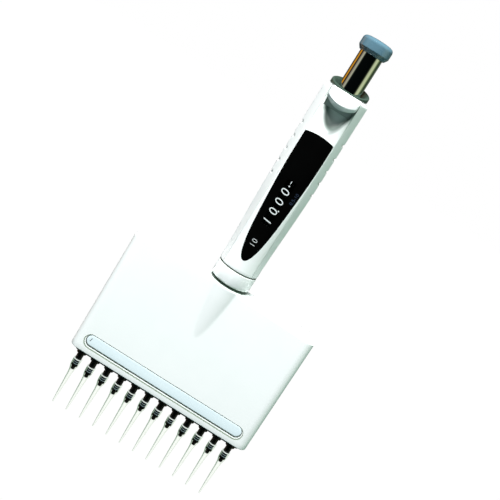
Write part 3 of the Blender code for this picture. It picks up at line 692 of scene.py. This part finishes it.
def number_mesh(text, height, wrap, slant, weight, spacing=1.0):
    """Raised digits. Their flat points go through a wrapping function to their place."""
    curve = assign(bpy.data.curves.new("number", "FONT"), body=text, size=height / 0.72, align_x="CENTER",
                   align_y="CENTER", extrude=0.03, shear=slant, offset=weight, space_character=spacing,
                   resolution_u=8)
    guide = linked("number", curve)
    graph = bpy.context.evaluated_depsgraph_get()
    mesh = bpy.data.meshes.new_from_object(guide.evaluated_get(graph))
    bpy.data.objects.remove(guide)
    bm = bmesh.new()
    bm.from_mesh(mesh)
    bmesh.ops.remove_doubles(bm, verts=bm.verts, dist=0.0005)
    strip = height / 16
    for k in range(-9, 10):
        everything = bm.verts[:] + bm.edges[:] + bm.faces[:]
        bmesh.ops.bisect_plane(bm, geom=everything, plane_co=(0.0, k * strip, 0.0), plane_no=(0.0, 1.0, 0.0))
    for vert in bm.verts:
        vert.co = wrap(vert.co.copy())
    bmesh.ops.recalc_face_normals(bm, faces=bm.faces)
    return to_mesh(bm, 40.0)


def place_number(name, text, height, wrap, body, finish, *style):
    place(name, number_mesh(text, height, wrap, *style), body, finish)


# Swivel collar


def make_collar():
    """The ring between head and handle, with shallow finger dents round it."""
    low, top, bore = COLLAR_LOW.z, COLLAR_HIGH.z, 5.6
    low_r, top_r = 11.35, 11.6
    ring_low, ring_top = 78.1, HANDLE_Z - 0.68
    neck_r, clip_r, clip_z = 7.1, 8.2, 71.3
    dents, dent_depth, dent_turn = 9, 0.22, 0.25
    spigot_r = 8.4
    body = [(spigot_r, top), (spigot_r, ring_top + 0.001), (top_r - 0.1, ring_top),
            (top_r + 0.05, ring_top - 0.2, 0.12), (low_r + 0.2, ring_low + 1.0),
            (low_r, ring_low + 0.4, 0.4), (low_r - 0.7, ring_low, 0.2),
            (neck_r, ring_low), (neck_r, clip_z), (clip_r, clip_z), (clip_r, low), (bore, low), (bore, top)]
    mesh = turned(filleted(body), 144)
    for vert in mesh.vertices:
        r = hypot(vert.co.x, vert.co.y) / MM
        z = vert.co.z / MM
        if r < low_r - 0.4 or not ring_low + 0.5 < z < ring_top - 0.5:
            continue
        swing = cos(dents * (atan2(vert.co.y, vert.co.x) + dent_turn))
        rise = sin(pi * (z - ring_low) / (ring_top - ring_low))
        sink = dent_depth * smooth_step((swing - 0.55) / 0.4) * rise
        vert.co.x *= 1 - sink / r
        vert.co.y *= 1 - sink / r
    place("swivel_collar_skin", mesh, "head", "collar_plastic", "swivel_collar")
    # Painted shade: a dark ring fills the gap between the collar and the handle.
    gap_shade_r, gap_shade_top, gap_shade_foot = low_r + 0.08, HANDLE_Z - 0.08, ring_top - 0.1
    seal = [(gap_shade_r, gap_shade_top), (gap_shade_r, gap_shade_foot), (9.0, gap_shade_foot), (9.0, gap_shade_top)]
    place("swivel_gap_shade", turned(seal), "head", "shade_line_dark")


# Handle


def handle_section(z):
    """Half-width, depth in front, depth behind and squareness of the handle at a height."""
    t = smooth_step((z - HANDLE_Z) / (HANDLE_FULL_Z - HANDLE_Z))
    behind = smooth_step((z - HANDLE_Z) / (HANDLE_BACK_FULL_Z - HANDLE_Z))
    half_width = HANDLE_LOW_R + t * (HANDLE_HALF_WIDTH - HANDLE_LOW_R)
    front = HANDLE_LOW_R + t * (HANDLE_FRONT - HANDLE_LOW_R)
    back = HANDLE_LOW_R + behind * (HANDLE_BACK - HANDLE_LOW_R)
    return half_width, front, back, 2 + t * (SQUARENESS - 2)


def handle_point(angle, z, inset=0.0):
    """A point on the handle, or inside it by an inset. The angle turns from the front towards +X."""
    half_width, front, back, square = handle_section(z)
    side, ahead = sin(angle), cos(angle)
    depth = front if ahead > 0 else back
    x = copysign(abs(side) ** (2 / square), side) * (half_width - inset)
    y = -copysign(abs(ahead) ** (2 / square), ahead) * (depth - inset)
    return Vector((x, y, z))


def angle_at(x, z, inset=0.0):
    half_width, _, _, square = handle_section(z)
    return asin((x / (half_width - inset)) ** (square / 2))


def front_y(x, z):
    return handle_point(angle_at(abs(x), z), z).y


FLANK_END_Y = -2.5
FLATNESS = 0.85


def flattened(point, z, inset):
    """The grip's flanks run nearly straight from the seam to the sides."""
    if abs(point.x) <= SEAM_X or point.y >= FLANK_END_Y:
        return point
    half_width, front, _, square = handle_section(z)
    reach = half_width - inset
    seam_y = -(front - inset) * (1 - (SEAM_X / reach) ** square) ** (1 / square)
    share = min(1.0, (point.y - seam_y) / (FLANK_END_Y - seam_y))
    end_x = reach * (1 - (-FLANK_END_Y / (front - inset)) ** square) ** (1 / square)
    chord = SEAM_X + share * (end_x - SEAM_X)
    return Vector((copysign(abs(point.x) + FLATNESS * (chord - abs(point.x)), point.x), point.y, point.z))


STEP_Z = 169.0
STEP_DEPTH = 0.4
SCOOP_LOW = 173.2
SCOOP_DEPTH = 2.4
SCOOP_RUN = 5.0
SCOOP_SPREAD = 14.0
RIM_FROM = 181.0
RIM_DEPTH = 0.75


def panel_sink(x, z):
    """How far the front panel lies below the handle's form: a step above the label, and the thumb scoop."""
    step = STEP_DEPTH * smooth_step((z - STEP_Z) / 9.0)
    u = min(abs(x) / SEAM_X, 1.0)
    start = SCOOP_LOW + SCOOP_SPREAD * u**1.9
    along = smooth_step((z - start) / SCOOP_RUN)
    return step + SCOOP_DEPTH * along * (1 - u**2.2)


def panel_y(x, z):
    """The front panel's own y at a place."""
    return front_y(x, z) + panel_sink(x, z)


def rim_sink(x, z):
    """The panel thins towards the edge under the thumb pad."""
    across = smooth_step((7.4 - abs(x)) / 1.8)
    return RIM_DEPTH * smooth_step((z - RIM_FROM) / (FRONT_TOP - RIM_FROM)) * across


NOTCHES = (141.7, 149.2, 156.4, 163.9, 172.3)
NOTCH_HALF = 1.0
NOTCH_DEPTH = 0.8


def notch_depth(angle, z):
    """The finger grooves round the sides and back of the grip."""
    side = smooth_step((abs(sin(angle)) - 0.94) / 0.05) if cos(angle) > -0.2 else 1.0
    away = min(abs(z - middle) for middle in NOTCHES) / NOTCH_HALF
    return NOTCH_DEPTH * max(0.0, 1 - away * away) ** 2 * side


def shell_levels(fine_from, fine_to, *counts):
    """Heights and insets of a shell's rows, from a small chamfer at the foot to the rounded top edge."""
    stops = (HANDLE_Z + 0.3, fine_from, fine_to, HANDLE_TOP - TOP_EDGE)
    levels = [HANDLE_Z, HANDLE_Z + 0.1, stops[0]]
    for low, high, count in zip(stops, stops[1:], counts):
        levels += steps_between(low, high, count)[1:]
    insets = [0.15, 0.05] + [0.0] * (len(levels) - 2)
    for a in quarter(8)[1:]:
        levels.append(HANDLE_TOP - TOP_EDGE + TOP_EDGE * sin(a))
        insets.append(TOP_EDGE * (1 - cos(a)))
    return levels + [HANDLE_TOP], insets + [TOP_INSET]


def set_back_ends(rows, distance):
    """Moves the two ends of each row back, so the crease between the shells shows."""
    for row in rows:
        for end in (0, -1):
            row[end].y += distance


def make_rear_shell():
    """The grip's shell: sides and back, with grooves, a rounded top edge and a flat rim inside it."""
    levels, insets = shell_levels(138.5, 176.5, 26, 130, 10)
    columns = 150
    inner_top = HANDLE_TOP - 1.9

    def row(z, inset, grooved):
        start = angle_at(SEAM_X + SEAM_GAP / 2, z, inset)
        points = []
        for j in range(columns + 1):
            angle = start + (2 * pi - 2 * start) * j / columns
            sink = notch_depth(angle, z) if grooved else 0.0
            point = handle_point(angle, z, inset + sink)
            points.append(flattened(point, z, inset + sink) if grooved else point)
        return points

    outer = [row(z, inset, True) for z, inset in zip(levels, insets)]
    inner = []
    for left, z, inset in zip(range(len(levels), 0, -1), levels, insets):
        inner.append(row(min(z, inner_top - 0.02 * left), max(SHELL_WALL, inset), False))
    set_back_ends(outer, 0.12)
    shell = between(outer, inner)
    place("handle_rear_skin", shell, "handle", "white_plastic", "handle_rear_shell")


RAIL_X = 7.7


def make_front_shell():
    """The front panel. Two rails beside the thumb pad run on to the top."""
    levels, insets = shell_levels(160.0, FRONT_TOP + 1.0, 44, 50, 6)
    columns = 72
    inner_top = HANDLE_TOP - 0.8

    def row(z, inset, height):
        edge_angle = angle_at(SEAM_X - SEAM_GAP / 2, z, inset)
        points = [handle_point(edge_angle * (2 * j / columns - 1), height, inset) for j in range(columns + 1)]
        return [p + Vector((0.0, panel_sink(p.x, height), 0.0)) for p in points]

    outer = [row(z, inset, z) for z, inset in zip(levels, insets)]
    for line in outer:
        for point in line:
            point.y += rim_sink(point.x, min(point.z, FRONT_TOP))
    inner = []
    for left, z, inset in zip(range(len(levels), 0, -1), levels, insets):
        depth = PANEL_WALL if inset < PANEL_WALL - 0.1 else inset + 0.05
        inner.append(row(z, depth, min(z, inner_top - 0.01 * left)))
    set_back_ends(outer, 0.1)
    pad_way = boxes(((-RAIL_X, -20.0, FRONT_TOP), (RAIL_X, -5.0, HANDLE_TOP + 5.0)))
    shell = carve(between(outer, inner), window_way(0.25, 0.25), pad_way)
    place("handle_front_skin", shell, "handle", "scooped_plastic", "handle_front_shell")


def window_way(grow_x, grow_z):
    """The cutter for a rounded slot, grown from the window's own size."""
    points = rounded_rectangle(WINDOW_HIGH.x + grow_x, WINDOW_HALF_Z + grow_z, 1.0, 6)
    return lofted([[Vector((x, y, WINDOW_Z + z)) for x, z in points] for y in (-17.0, -7.0)])


# The hook's middle line and half sizes, as y, z, up and across
HOOK_PATH = (
    (12.0, 188.4, 6.2, 8.2), (16.0, 188.2, 5.9, 8.0), (21.0, 187.7, 5.6, 7.8), (26.0, 186.9, 4.8, 7.6),
    (31.0, 185.5, 3.7, 7.4), (35.0, 183.2, 2.9, 7.1), (37.4, 180.4, 2.2, 6.6), (38.0, 178.6, 1.5, 5.6),
)


def make_hook():
    """The finger hook: a rounded section swept back and down. Its underside is nearly flat."""
    rows = []
    for y, z, half_thick, half_wide in HOOK_PATH:
        loop = []
        for c, s in circle(40):
            across = copysign(abs(c) ** 0.55, c) * half_wide
            loop.append(Vector((across, y, z + copysign(abs(s) ** 0.62, s) * half_thick)))
        rows.append(loop)
    hook = place("finger_hook", lofted(rows, 70.0), "handle", "white_plastic")
    assign(hook.modifiers.new("Smooth", "SUBSURF"), levels=2, render_levels=2)


# Label and display


def label_half_width(z):
    """The label is widest at its top. It narrows downwards, then rounds in to a blunt point."""
    t = (z - LABEL_LOW) / (LABEL_CORNER - LABEL_LOW)
    tip = 1 - min(1.0, t / 0.45)
    half = LABEL_TIP_HALF + (LABEL_TOP_HALF - LABEL_TIP_HALF) * smooth_step(t / 0.85)
    return half * sqrt(1 - tip**3.2)


def make_label():
    """The black label: a thin plate that follows the panel, with a rounded border."""
    rows, columns = 120, 36
    thickness, round_over = 0.7, 0.30
    foot = LABEL_LOW + 0.05
    outer, inner = [], []
    for i in range(rows + 1):
        t = (i / rows) ** 1.4
        z = foot + (LABEL_CORNER - foot) * t
        half = label_half_width(z)
        arch = (LABEL_TOP - LABEL_CORNER) * t**8
        out_row, in_row = [], []
        for j in range(columns + 1):
            u = sin(pi / 2 * (2 * j / columns - 1))
            x, height = half * u, z + arch * (1 - u * u)
            border = min(half * (1 - abs(u)), z - LABEL_LOW, LABEL_CORNER - z)
            drop = max(0.0, 1 - border / round_over)
            level = panel_y(x, height) - LABEL_PROUD
            out_row.append(Vector((x, level + 0.2 * (1 - sqrt(1 - drop * drop)), height)))
            in_row.append(Vector((x, level + thickness, height)))
        outer.append(out_row)
        inner.append(in_row)
    mesh = carve(between(outer, inner), window_way(-0.55, -0.3))
    place("label_skin", mesh, "handle", "gloss_black_label", "label_plate")

    def on_label(x, z, lean=0.0):
        """Lays a number on the label. It reads upwards."""
        def wrap(p):
            across, up = x + lean * p.x - p.y, z + p.x
            return Vector((across, panel_y(across, up) - LABEL_PROUD - p.z - 0.02, up))
        return wrap

    place_number("size_mark", "10", 3.1, on_label(0.0, 105.5), "handle", "print_white", 0.05, -0.10, 1.2)
    place_number("range_mark", "0.5-10", 1.95, on_label(5.9, 136.4, 0.08), "handle", "mark_dim", 0.05, -0.02)


def make_window():
    """The clear window, its face curved with the label, and the counter's mask, point and index marks."""
    columns, lines = 16, 24
    outer, inner = [], []
    for z in [WINDOW_Z + WINDOW_HALF_Z * (2 * i / lines - 1) for i in range(lines + 1)]:
        xs = [WINDOW_HIGH.x * (2 * j / columns - 1) for j in range(columns + 1)]
        outer.append([Vector((x, front_y(x, z) + 0.75, z)) for x in xs])
        inner.append([Vector((x, WINDOW_HIGH.y, z)) for x in xs])
    place("window_skin", between(outer, inner), "handle", "clear_window", "display_window")
    back = WHEEL_R + 0.75
    lift, dot_r, dot_x, dot_z = 0.06, 0.42, 2.15, 126.3
    dot = [(dot_x + dot_r * c, dot_z + dot_r * s) for c, s in circle(24)]
    point = lofted([[Vector((x, -y, z)) for x, z in dot] for y in (back, back + lift)])
    place("decimal_point", point, "handle", "digit_white")
    mask = boxes(((-3.6, -back, WHEELS_TOP + 0.1), (3.6, -WHEEL_R, WINDOW_HIGH.z + 0.6)))
    place("counter_mask", mask, "handle", "wheel_black")
    marks = [((x - half_u, -back - lift, z - half_v), (x + half_u, -back, z + half_v))
             for x, z, half_u, half_v in ((0.0, 140.55, 0.36, 0.36), (-0.1, 142.65, 0.2, 0.8))]
    place("index_marks", boxes(*marks), "handle", "digit_white")


def make_wheels():
    """Four drums with ten digits each. The digits read upwards, with their tops towards -X."""
    digit_height, shift, bore = 5.0, -0.6, 5.0
    for wheel, shown in (("tens", 1), ("ones", 0), ("tenths", 0), ("hundredths", 0)):
        low, high = span("number_wheel_" + wheel)
        middle = (low.z + high.z) / 2
        profile = filleted([(WHEEL_R, high.z, 0.25), (WHEEL_R, low.z, 0.25), (bore, low.z), (bore, high.z)])
        body = wheel + "_wheel"
        place(wheel + "_drum", turned(profile), body, "wheel_black", "number_wheel_" + wheel)
        for digit in range(10):
            turn = (shown - digit) * pi / 5

            def wrap(p, turn=turn, middle=middle):
                angle = turn - p.y / WHEEL_R
                r = WHEEL_R + 0.03 + p.z
                return Vector((r * sin(angle), -r * cos(angle), middle + shift + p.x))

            mark = f"{wheel}_digit_{digit}"
            place_number(mark, str(digit), digit_height, wrap, body, "digit_white", 0.12, -0.02)


# Plunger and lock ring


def make_plunger():
    low, top = SLEEVE_LOW.z, SLEEVE_HIGH.z
    flange_top = low + 1.5
    outer, flange, bore = 6.5, 7.6, 5.3
    profile = [(outer, top, 0.2), (outer, flange_top), (flange, flange_top, 0.2), (flange, low, 0.2),
               (bore, low), (bore, top)]
    place("sleeve_skin", turned(filleted(profile), 128), "knob", "chrome", "plunger_sleeve")
    low, top, rim = CAP_LOW.z, CAP_HIGH.z, CAP_HIGH.x
    seat = SLEEVE_HIGH.z + 0.3
    profile = [(0.0, top), (3.5, top - 0.08), (6.0, top - 0.3), (rim, top - 1.0, 2.2), (rim, low + 2.2, 0.8),
               (7.3, low + 0.1, 0.4), (6.8, low), (6.8, seat), (0.0, seat)]
    place("cap_skin", turned(filleted(profile, 6), 128), "knob", "blue_grey_cap", "plunger_cap")


def make_lock_ring():
    """A cup round the sleeve. Its rim is slanted, low in front."""
    base, rim, outer_r = LOCK_LOW.z, 199.9, LOCK_HIGH.x
    slant, bore = 0.26, 7.8
    profile = [(10.2, rim, 0.35), (outer_r, rim - 0.15, 0.6), (outer_r, base + 0.5, 0.4), (10.6, base),
               (bore, base), (bore, base + 0.7, 0.2), (9.3, rim - 0.7, 0.3)]
    mesh = turned(filleted(profile, 6), 144)
    for vert in mesh.vertices:
        share = (vert.co.z / MM - base) / (rim - base)
        vert.co.z += slant * vert.co.y * max(0.0, share)
    place("lock_ring_skin", mesh, "lock", "dark_green_grey", "volume_lock_ring")


# Ejector


PAD_REACH = 1.4


def make_button():
    """The thumb pad: a bulging face over a curved lip, a keel under it, and a web and an apron behind it."""
    half = BUTTON_HIGH.x
    top, front = BUTTON_HIGH.z - 0.6, BUTTON_LOW.y - PAD_REACH
    columns = 56
    rows = []
    for j in range(columns + 1):
        u = sin(pi / 2 * (2 * j / columns - 1))
        x = half * u
        lip = 189.3 + 2.4 * abs(u) ** 2.2
        foot = lip - 1.2 - 1.0 * (1 - abs(u) ** 1.3)
        fall, point = front_fall(x), lip_fall(x)
        side = [(fall - 14.3, top, 0.9), (front + 0.6 + 0.7 * point, lip + 3.6, 3.0),
                (front + point, lip + 0.2, 0.6), (fall - 14.0, lip - 0.7 - 0.15 * (lip - foot), 0.6),
                (fall - 13.5, foot, 0.12), (fall - 12.9, foot + 0.3, 0.15), (fall - 12.5, top - 0.2, 0.3)]
        loop = filleted(side, 5)
        squeeze = 1 - 0.55 * max(0.0, (abs(u) - 0.94) / 0.06) ** 2
        mid_y = sum(p[0] for p in loop) / len(loop)
        mid_z = (top + lip) / 2
        rows.append([Vector((x, mid_y + (y - mid_y) * squeeze, mid_z + (z - mid_z) * (0.6 + 0.4 * squeeze)))
                     for y, z in loop])
    bm = bmesh.new()
    add_loft(bm, rows)
    web_low = span("ejector_rod")[1].z - 1.3
    add_box(bm, (-7.5, -13.4, web_low), (7.5, -9.0, HANDLE_TOP - 0.05))
    add_box(bm, (-7.5, -9.35, 184.0), (7.5, -8.6, HANDLE_TOP - 0.1))
    place("button_skin", to_mesh(bm, 50.0), "ejector", "white_plastic", "ejector_button")


def front_fall(x):
    """How far the pad curves back with the handle at an x."""
    return 1.5 * (abs(x) / SEAM_X) ** 2.4


def lip_fall(x):
    """How far the pad's lip runs back from its blunt point in the middle."""
    blunt = 1.2
    return 0.40 * (hypot(x, blunt) - blunt)


def make_ejector_plate():
    """The strip with its collars, and the yoke that carries it up into the neck."""
    rows = []
    for inset, z in ((0.5, 0.0), (0.1, 0.12), (0.0, 0.45), (0.0, 1.7), (0.15, 1.95), (0.4, 2.0)):
        outline = rounded_rectangle(PLATE_HIGH.x, PLATE_HIGH.y, 2.0, 5, inset)
        rows.append([Vector((x, y, z)) for x, y in outline])
    bore = [(0.0, 5.0), (2.4, 5.0), (2.4, -3.0), (0.0, -3.0)]
    bores = [turned(bore, 48, (x, 0.0)) for _, x in channels()]
    strip = carve(lofted(rows), *bores)
    place("ejector_strip_skin", strip, "ejector_plate", "black_plastic", "ejector_plate")
    foot = PLATE_LOW.z
    flare = [(2.3, 0.4), (4.1, 0.4), (4.0, 0.0), (3.85, -0.5, 0.3), (3.35, -1.15, 0.4), (2.95, -1.5, 0.3)]
    flare += [(2.9, foot + 0.1, 0.12), (2.7, foot, 0.1), (2.3, foot)]
    place_turned("collar_", flare, "ejector_plate", "black_plastic")
    arms = bmesh.new()
    for low, high in (((-29, 5.6, 1.2), (-25, 7.2, 66)), ((25, 5.6, 1.2), (29, 7.2, 66)),
                      ((-26, 5.7, 64.1), (26, 7.1, 65.9)), ((-4, 3.6, 64.2), (4, 6.9, 65.8))):
        add_box(arms, low, high)
    add_turned(arms, [(5.2, PLATE_HIGH.z), (5.2, 64.0), (3.0, 64.0), (3.0, PLATE_HIGH.z)], 64)
    yoke = place("yoke_skin", to_mesh(arms), "ejector_plate", "black_plastic")
    assign(yoke.modifiers.new("Rounding", "BEVEL"), width=0.3 * MM, segments=3, limit_method="ANGLE")


# Cones and tips


def place_turned(prefix, profile, body, finish, stands_for=""):
    """A turned piece at each channel. It may stand for a CAD node whose name ends in the channel's number."""
    for number, x in channels():
        name = prefix + number
        nodes = [stands_for + number] if stands_for else []
        place(name, turned(filleted(profile), 48, (x, 0.0)), body, finish, *nodes)


def make_cones():
    """Black cones with two pale seal rings, a bulge and a narrow end."""
    end = CONE_LOW.z
    profile = [(1.9, CONE_HIGH.z, 0.2), (1.9, -7.9, 0.1), (1.72, -8.2, 0.1), (1.72, -9.25), (1.5, -9.25),
               (1.5, -9.7), (1.70, -9.7), (1.68, -10.5), (1.45, -10.5), (1.45, -10.95), (1.66, -10.95),
               (1.66, -11.3, 0.1), (1.88, -11.6, 0.12), (1.88, -12.4, 0.2), (1.22, -12.9, 0.2),
               (1.14, -14.3, 0.1), (0.95, end + 0.3, 0.2), (0.35, end + 0.3), (0.35, CONE_HIGH.z)]
    place_turned("cone_skin_", profile, "head", "black_plastic", "tip_cone_")
    for number, x in channels():
        bm = bmesh.new()
        for top in (-9.35, -10.6):
            seal = [(1.76, top, 0.08), (1.76, top - 0.25, 0.08), (1.52, top - 0.25), (1.52, top)]
            add_turned(bm, filleted(seal), 48, (x, 0.0))
        name = "cone_seals_" + number
        place(name, to_mesh(bm), "head", "seal_grey")


def make_tips():
    """A thin tapered tube with a white rim, ribs below the rim, a shoulder and a long narrow end."""
    rim, end = TIP_HIGH.z, TIP_LOW.z
    lip_foot = rim - 0.5
    profile = [(2.5, lip_foot), (2.36, rim - 4.9, 0.6), (1.62, rim - 7.6, 0.8), (1.32, rim - 10.5),
               (0.78, end + 7.0), (0.42, end, 0.05), (0.22, end), (0.5, end + 7.0), (1.05, rim - 10.5),
               (1.38, rim - 7.6, 0.6), (2.14, rim - 5.0, 0.5), (2.24, lip_foot)]
    place_turned("tip_skin_", profile, "tips", "frosted_tip", "tip_")
    lip = [(2.62, rim, 0.12), (2.62, lip_foot, 0.1), (2.2, lip_foot, 0.1), (2.2, rim, 0.12)]
    place_turned("tip_rim_", lip, "tips", "tip_rim_white")
    ribs = 8
    for number, x in channels():
        bm = bmesh.new()
        for k in range(ribs):
            turn = Matrix.Translation((x, 0.0, 0.0)) @ Matrix.Rotation(2 * pi * (k + 0.5) / ribs, 4, "Z")
            rib = []
            for z, reach, half in ((lip_foot, 2.62, 0.12), (rim - 3.6, 2.52, 0.10), (rim - 4.6, 2.36, 0.05)):
                corners = ((2.3, -half, z), (reach, -half * 0.6, z), (reach, half * 0.6, z), (2.3, half, z))
                rib.append([turn @ Vector(p) for p in corners])
            add_loft(bm, rib)
        name = "tip_ribs_" + number
        place(name, to_mesh(bm), "tips", "frosted_tip")


# Springs and the pieces inside


def make_spring(node_name, radius, wire, turns):
    """A coil with closed ends."""
    low, high = span(node_name)
    bottom, top = low.z + wire / 2, high.z - wire / 2
    pitch = (top - bottom - 2 * wire) / (turns - 2)
    per_turn = 40
    rows = []
    for i in range(turns * per_turn + 1):
        turn = i / per_turn
        open_turns = min(max(turn - 1, 0), turns - 2)
        z = bottom + wire * (turn - open_turns) + pitch * open_turns
        angle = 2 * pi * turn
        outward = Vector((cos(angle), sin(angle), 0.0))
        middle = outward * radius + Vector((0.0, 0.0, z))
        rows.append([middle + (outward * c + Vector((0.0, 0.0, s))) * wire / 2 for c, s in circle(10)])
    name = node_name + "_skin"
    spring = place(name, lofted(rows, 60.0), "handle", "steel", node_name)
    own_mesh(spring)


def finish_cad_nodes():
    """The CAD pieces that stay on show inside the casing take their finish from the record's slots."""
    slots = {s["node"]: s["material_slot"] for s in frame["record"]["subparts"]}
    for name, obj in frame["nodes"].items():
        if obj.hide_render:
            continue
        obj.data.materials.clear()
        obj.data.materials.append(FINISHES[slots[name]])


# Studio


FLOOR_Z = -120.0
AMBIENT = (0.05, 0.083, 0.083)
# Where a lobe of soft light lies, how narrow it is and its colour
LOBES = (
    ((0.95, 0.31, 0.0), 2.0, (0.50, 0.76, 0.55)),
    ((-0.90, 0.43, 0.0), 2.0, (0.08, 0.13, 0.14)),
    ((0.0, 1.0, 0.0), 2.0, (0.92, 0.80, 0.90)),
    ((0.0, 0.0, 1.0), 2.0, (0.28, 0.32, 0.32)),
    ((0.0, 0.0, -1.0), 2.0, (0.23, 0.34, 0.34)),
)
# What shiny pieces mirror round the horizon, in degrees from the front towards +X
STRIPS = (
    (-180, (0.10, 0.11, 0.10)), (-150, (0.06, 0.06, 0.05)), (-134, (0.05, 0.03, 0.01)),
    (-126, (0.66, 0.27, 0.015)), (-110, (0.70, 0.32, 0.02)), (-104, (0.02, 0.02, 0.02)),
    (-91, (0.02, 0.02, 0.02)), (-84, (0.30, 0.25, 0.19)), (-66, (0.50, 0.51, 0.38)),
    (-56, (0.02, 0.025, 0.02)), (-48, (0.002, 0.003, 0.003)), (46, (0.001, 0.002, 0.002)),
    (56, (0.03, 0.04, 0.02)),
    (66, (0.52, 0.58, 0.36)), (86, (0.64, 0.72, 0.44)), (98, (0.20, 0.27, 0.12)), (112, (0.03, 0.05, 0.03)),
    (128, (0.03, 0.05, 0.03)), (144, (0.15, 0.19, 0.13)), (180, (0.10, 0.11, 0.10)),
)
KEY_WAY = Vector((-0.16, -0.41, 0.90))
KEY_AIM = Vector((0.0, 0.0, 90.0))
KEY_DISTANCE = 1300.0
KEY_SIZE = 420.0
KEY_POWER = 45.6
TARGET = Vector((0.28, 0.0, 98.58))
DISTANCE = 485.9
ELEVATION = radians(12.45)
ROLL = radians(32.12)
FOCAL_PIXELS = 898.4
FRAME_PIXELS = 500
SENSOR = 36.0


def make_camera():
    lens = FOCAL_PIXELS / FRAME_PIXELS * SENSOR
    camera = linked("camera", assign(bpy.data.cameras.new("camera"), sensor_width=SENSOR, lens=lens,
                                     clip_start=0.01, clip_end=20.0))
    back = Vector((0.0, -cos(ELEVATION), sin(ELEVATION)))
    side, up = Vector((1.0, 0.0, 0.0)), Vector((0.0, sin(ELEVATION), cos(ELEVATION)))
    right = side * cos(ROLL) + up * sin(ROLL)
    above = up * cos(ROLL) - side * sin(ROLL)
    turn = Matrix((right, above, back)).transposed().to_4x4()
    camera.matrix_world = Matrix.Translation((TARGET + back * DISTANCE) * MM) @ turn
    bpy.context.scene.camera = camera


def make_floor():
    """A white floor that only the camera sees. It lights and mirrors nothing."""
    bm = bmesh.new()
    bmesh.ops.create_circle(bm, cap_ends=True, segments=64, radius=4000.0)
    bmesh.ops.translate(bm, vec=(0.0, 0.0, FLOOR_Z), verts=bm.verts)
    floor = linked("floor", to_mesh(bm))
    material, tree, shader = new_material("floor_white")
    tone = mixed(tree, noise(tree, 4.0), (0.93, 0.93, 0.93), (0.95, 0.95, 0.95))
    tune(tree, shader, Base_Color=tone, Roughness=0.9)
    rays = tree.nodes.new("ShaderNodeLightPath")
    even = node(tree, "ShaderNodeEmission", Strength=1.08, Color=tone)
    end_with(tree, rays.outputs["Is Camera Ray"], shader, even)
    floor.data.materials.append(material)
    assign(floor, visible_glossy=False, visible_diffuse=False)


def make_key():
    lamp = linked("key", assign(bpy.data.lights.new("key", "AREA"), shape="RECTANGLE", size=KEY_SIZE * MM,
                                size_y=KEY_SIZE * MM, energy=KEY_POWER))
    lamp.location = (KEY_AIM + KEY_WAY * KEY_DISTANCE) * MM
    lamp.rotation_euler = (-KEY_WAY).to_track_quat("-Z", "Y").to_euler()
    lamp.visible_glossy = False


def make_world():
    """White to the camera, dim lobes round the sides to rough surfaces and strip lights to shiny ones."""
    world = bpy.data.worlds.new("studio")
    bpy.context.scene.world = world
    world.use_nodes = True
    tree = world.node_tree
    tree.nodes.clear()
    figure = partial(figured, tree)
    x, y, z = place_parts(tree, "Generated")
    around = figure("ARCTAN2", x, figure("MULTIPLY", y, -1.0))
    around = figure("ADD", figure("DIVIDE", around, 2 * pi), 0.5)
    strips = tree.nodes.new("ShaderNodeValToRGB")
    ramp = strips.color_ramp
    while len(ramp.elements) < len(STRIPS):
        ramp.elements.new(0.5)
    for element, (degrees, colour) in zip(ramp.elements, STRIPS):
        element.position = degrees / 360 + 0.5
        element.color = (*colour, 1.0)
    tree.links.new(around, strips.inputs[0])

    soft = mixed(tree, 0.0, AMBIENT, AMBIENT)
    for (lobe_x, lobe_y, lobe_z), power, colour in LOBES:
        facing = figure("ADD", figure("MULTIPLY", x, lobe_x), figure("MULTIPLY", y, lobe_y))
        facing = figure("ADD", facing, figure("MULTIPLY", z, lobe_z), clamp=True)
        soft = mixed(tree, figure("POWER", facing, power), soft, colour, "ADD")
    rays = tree.nodes.new("ShaderNodeLightPath")
    shown = mixed(tree, rays.outputs["Is Glossy Ray"], soft, strips.outputs[0])
    shown = mixed(tree, rays.outputs["Is Camera Ray"], shown, (1.0, 1.0, 1.0))
    background = node(tree, "ShaderNodeBackground", Color=shown)
    output = tree.nodes.new("ShaderNodeOutputWorld")
    tree.links.new(background.outputs[0], output.inputs["Surface"])


def make_studio():
    make_camera()
    make_floor()
    make_world()
    make_key()
    bpy.context.scene.view_settings.view_transform = "Standard"


FINISHES = make_finishes()
make_head()
make_gaskets()
make_panel()
make_collar()
make_rear_shell()
make_front_shell()
make_hook()
make_label()
make_window()
make_wheels()
make_plunger()
make_lock_ring()
make_button()
make_ejector_plate()
make_cones()
make_tips()
make_spring("plunger_spring", 6.7, 0.9, 9)
make_spring("ejector_spring", 5.7, 0.8, 6)
finish_cad_nodes()
make_studio()
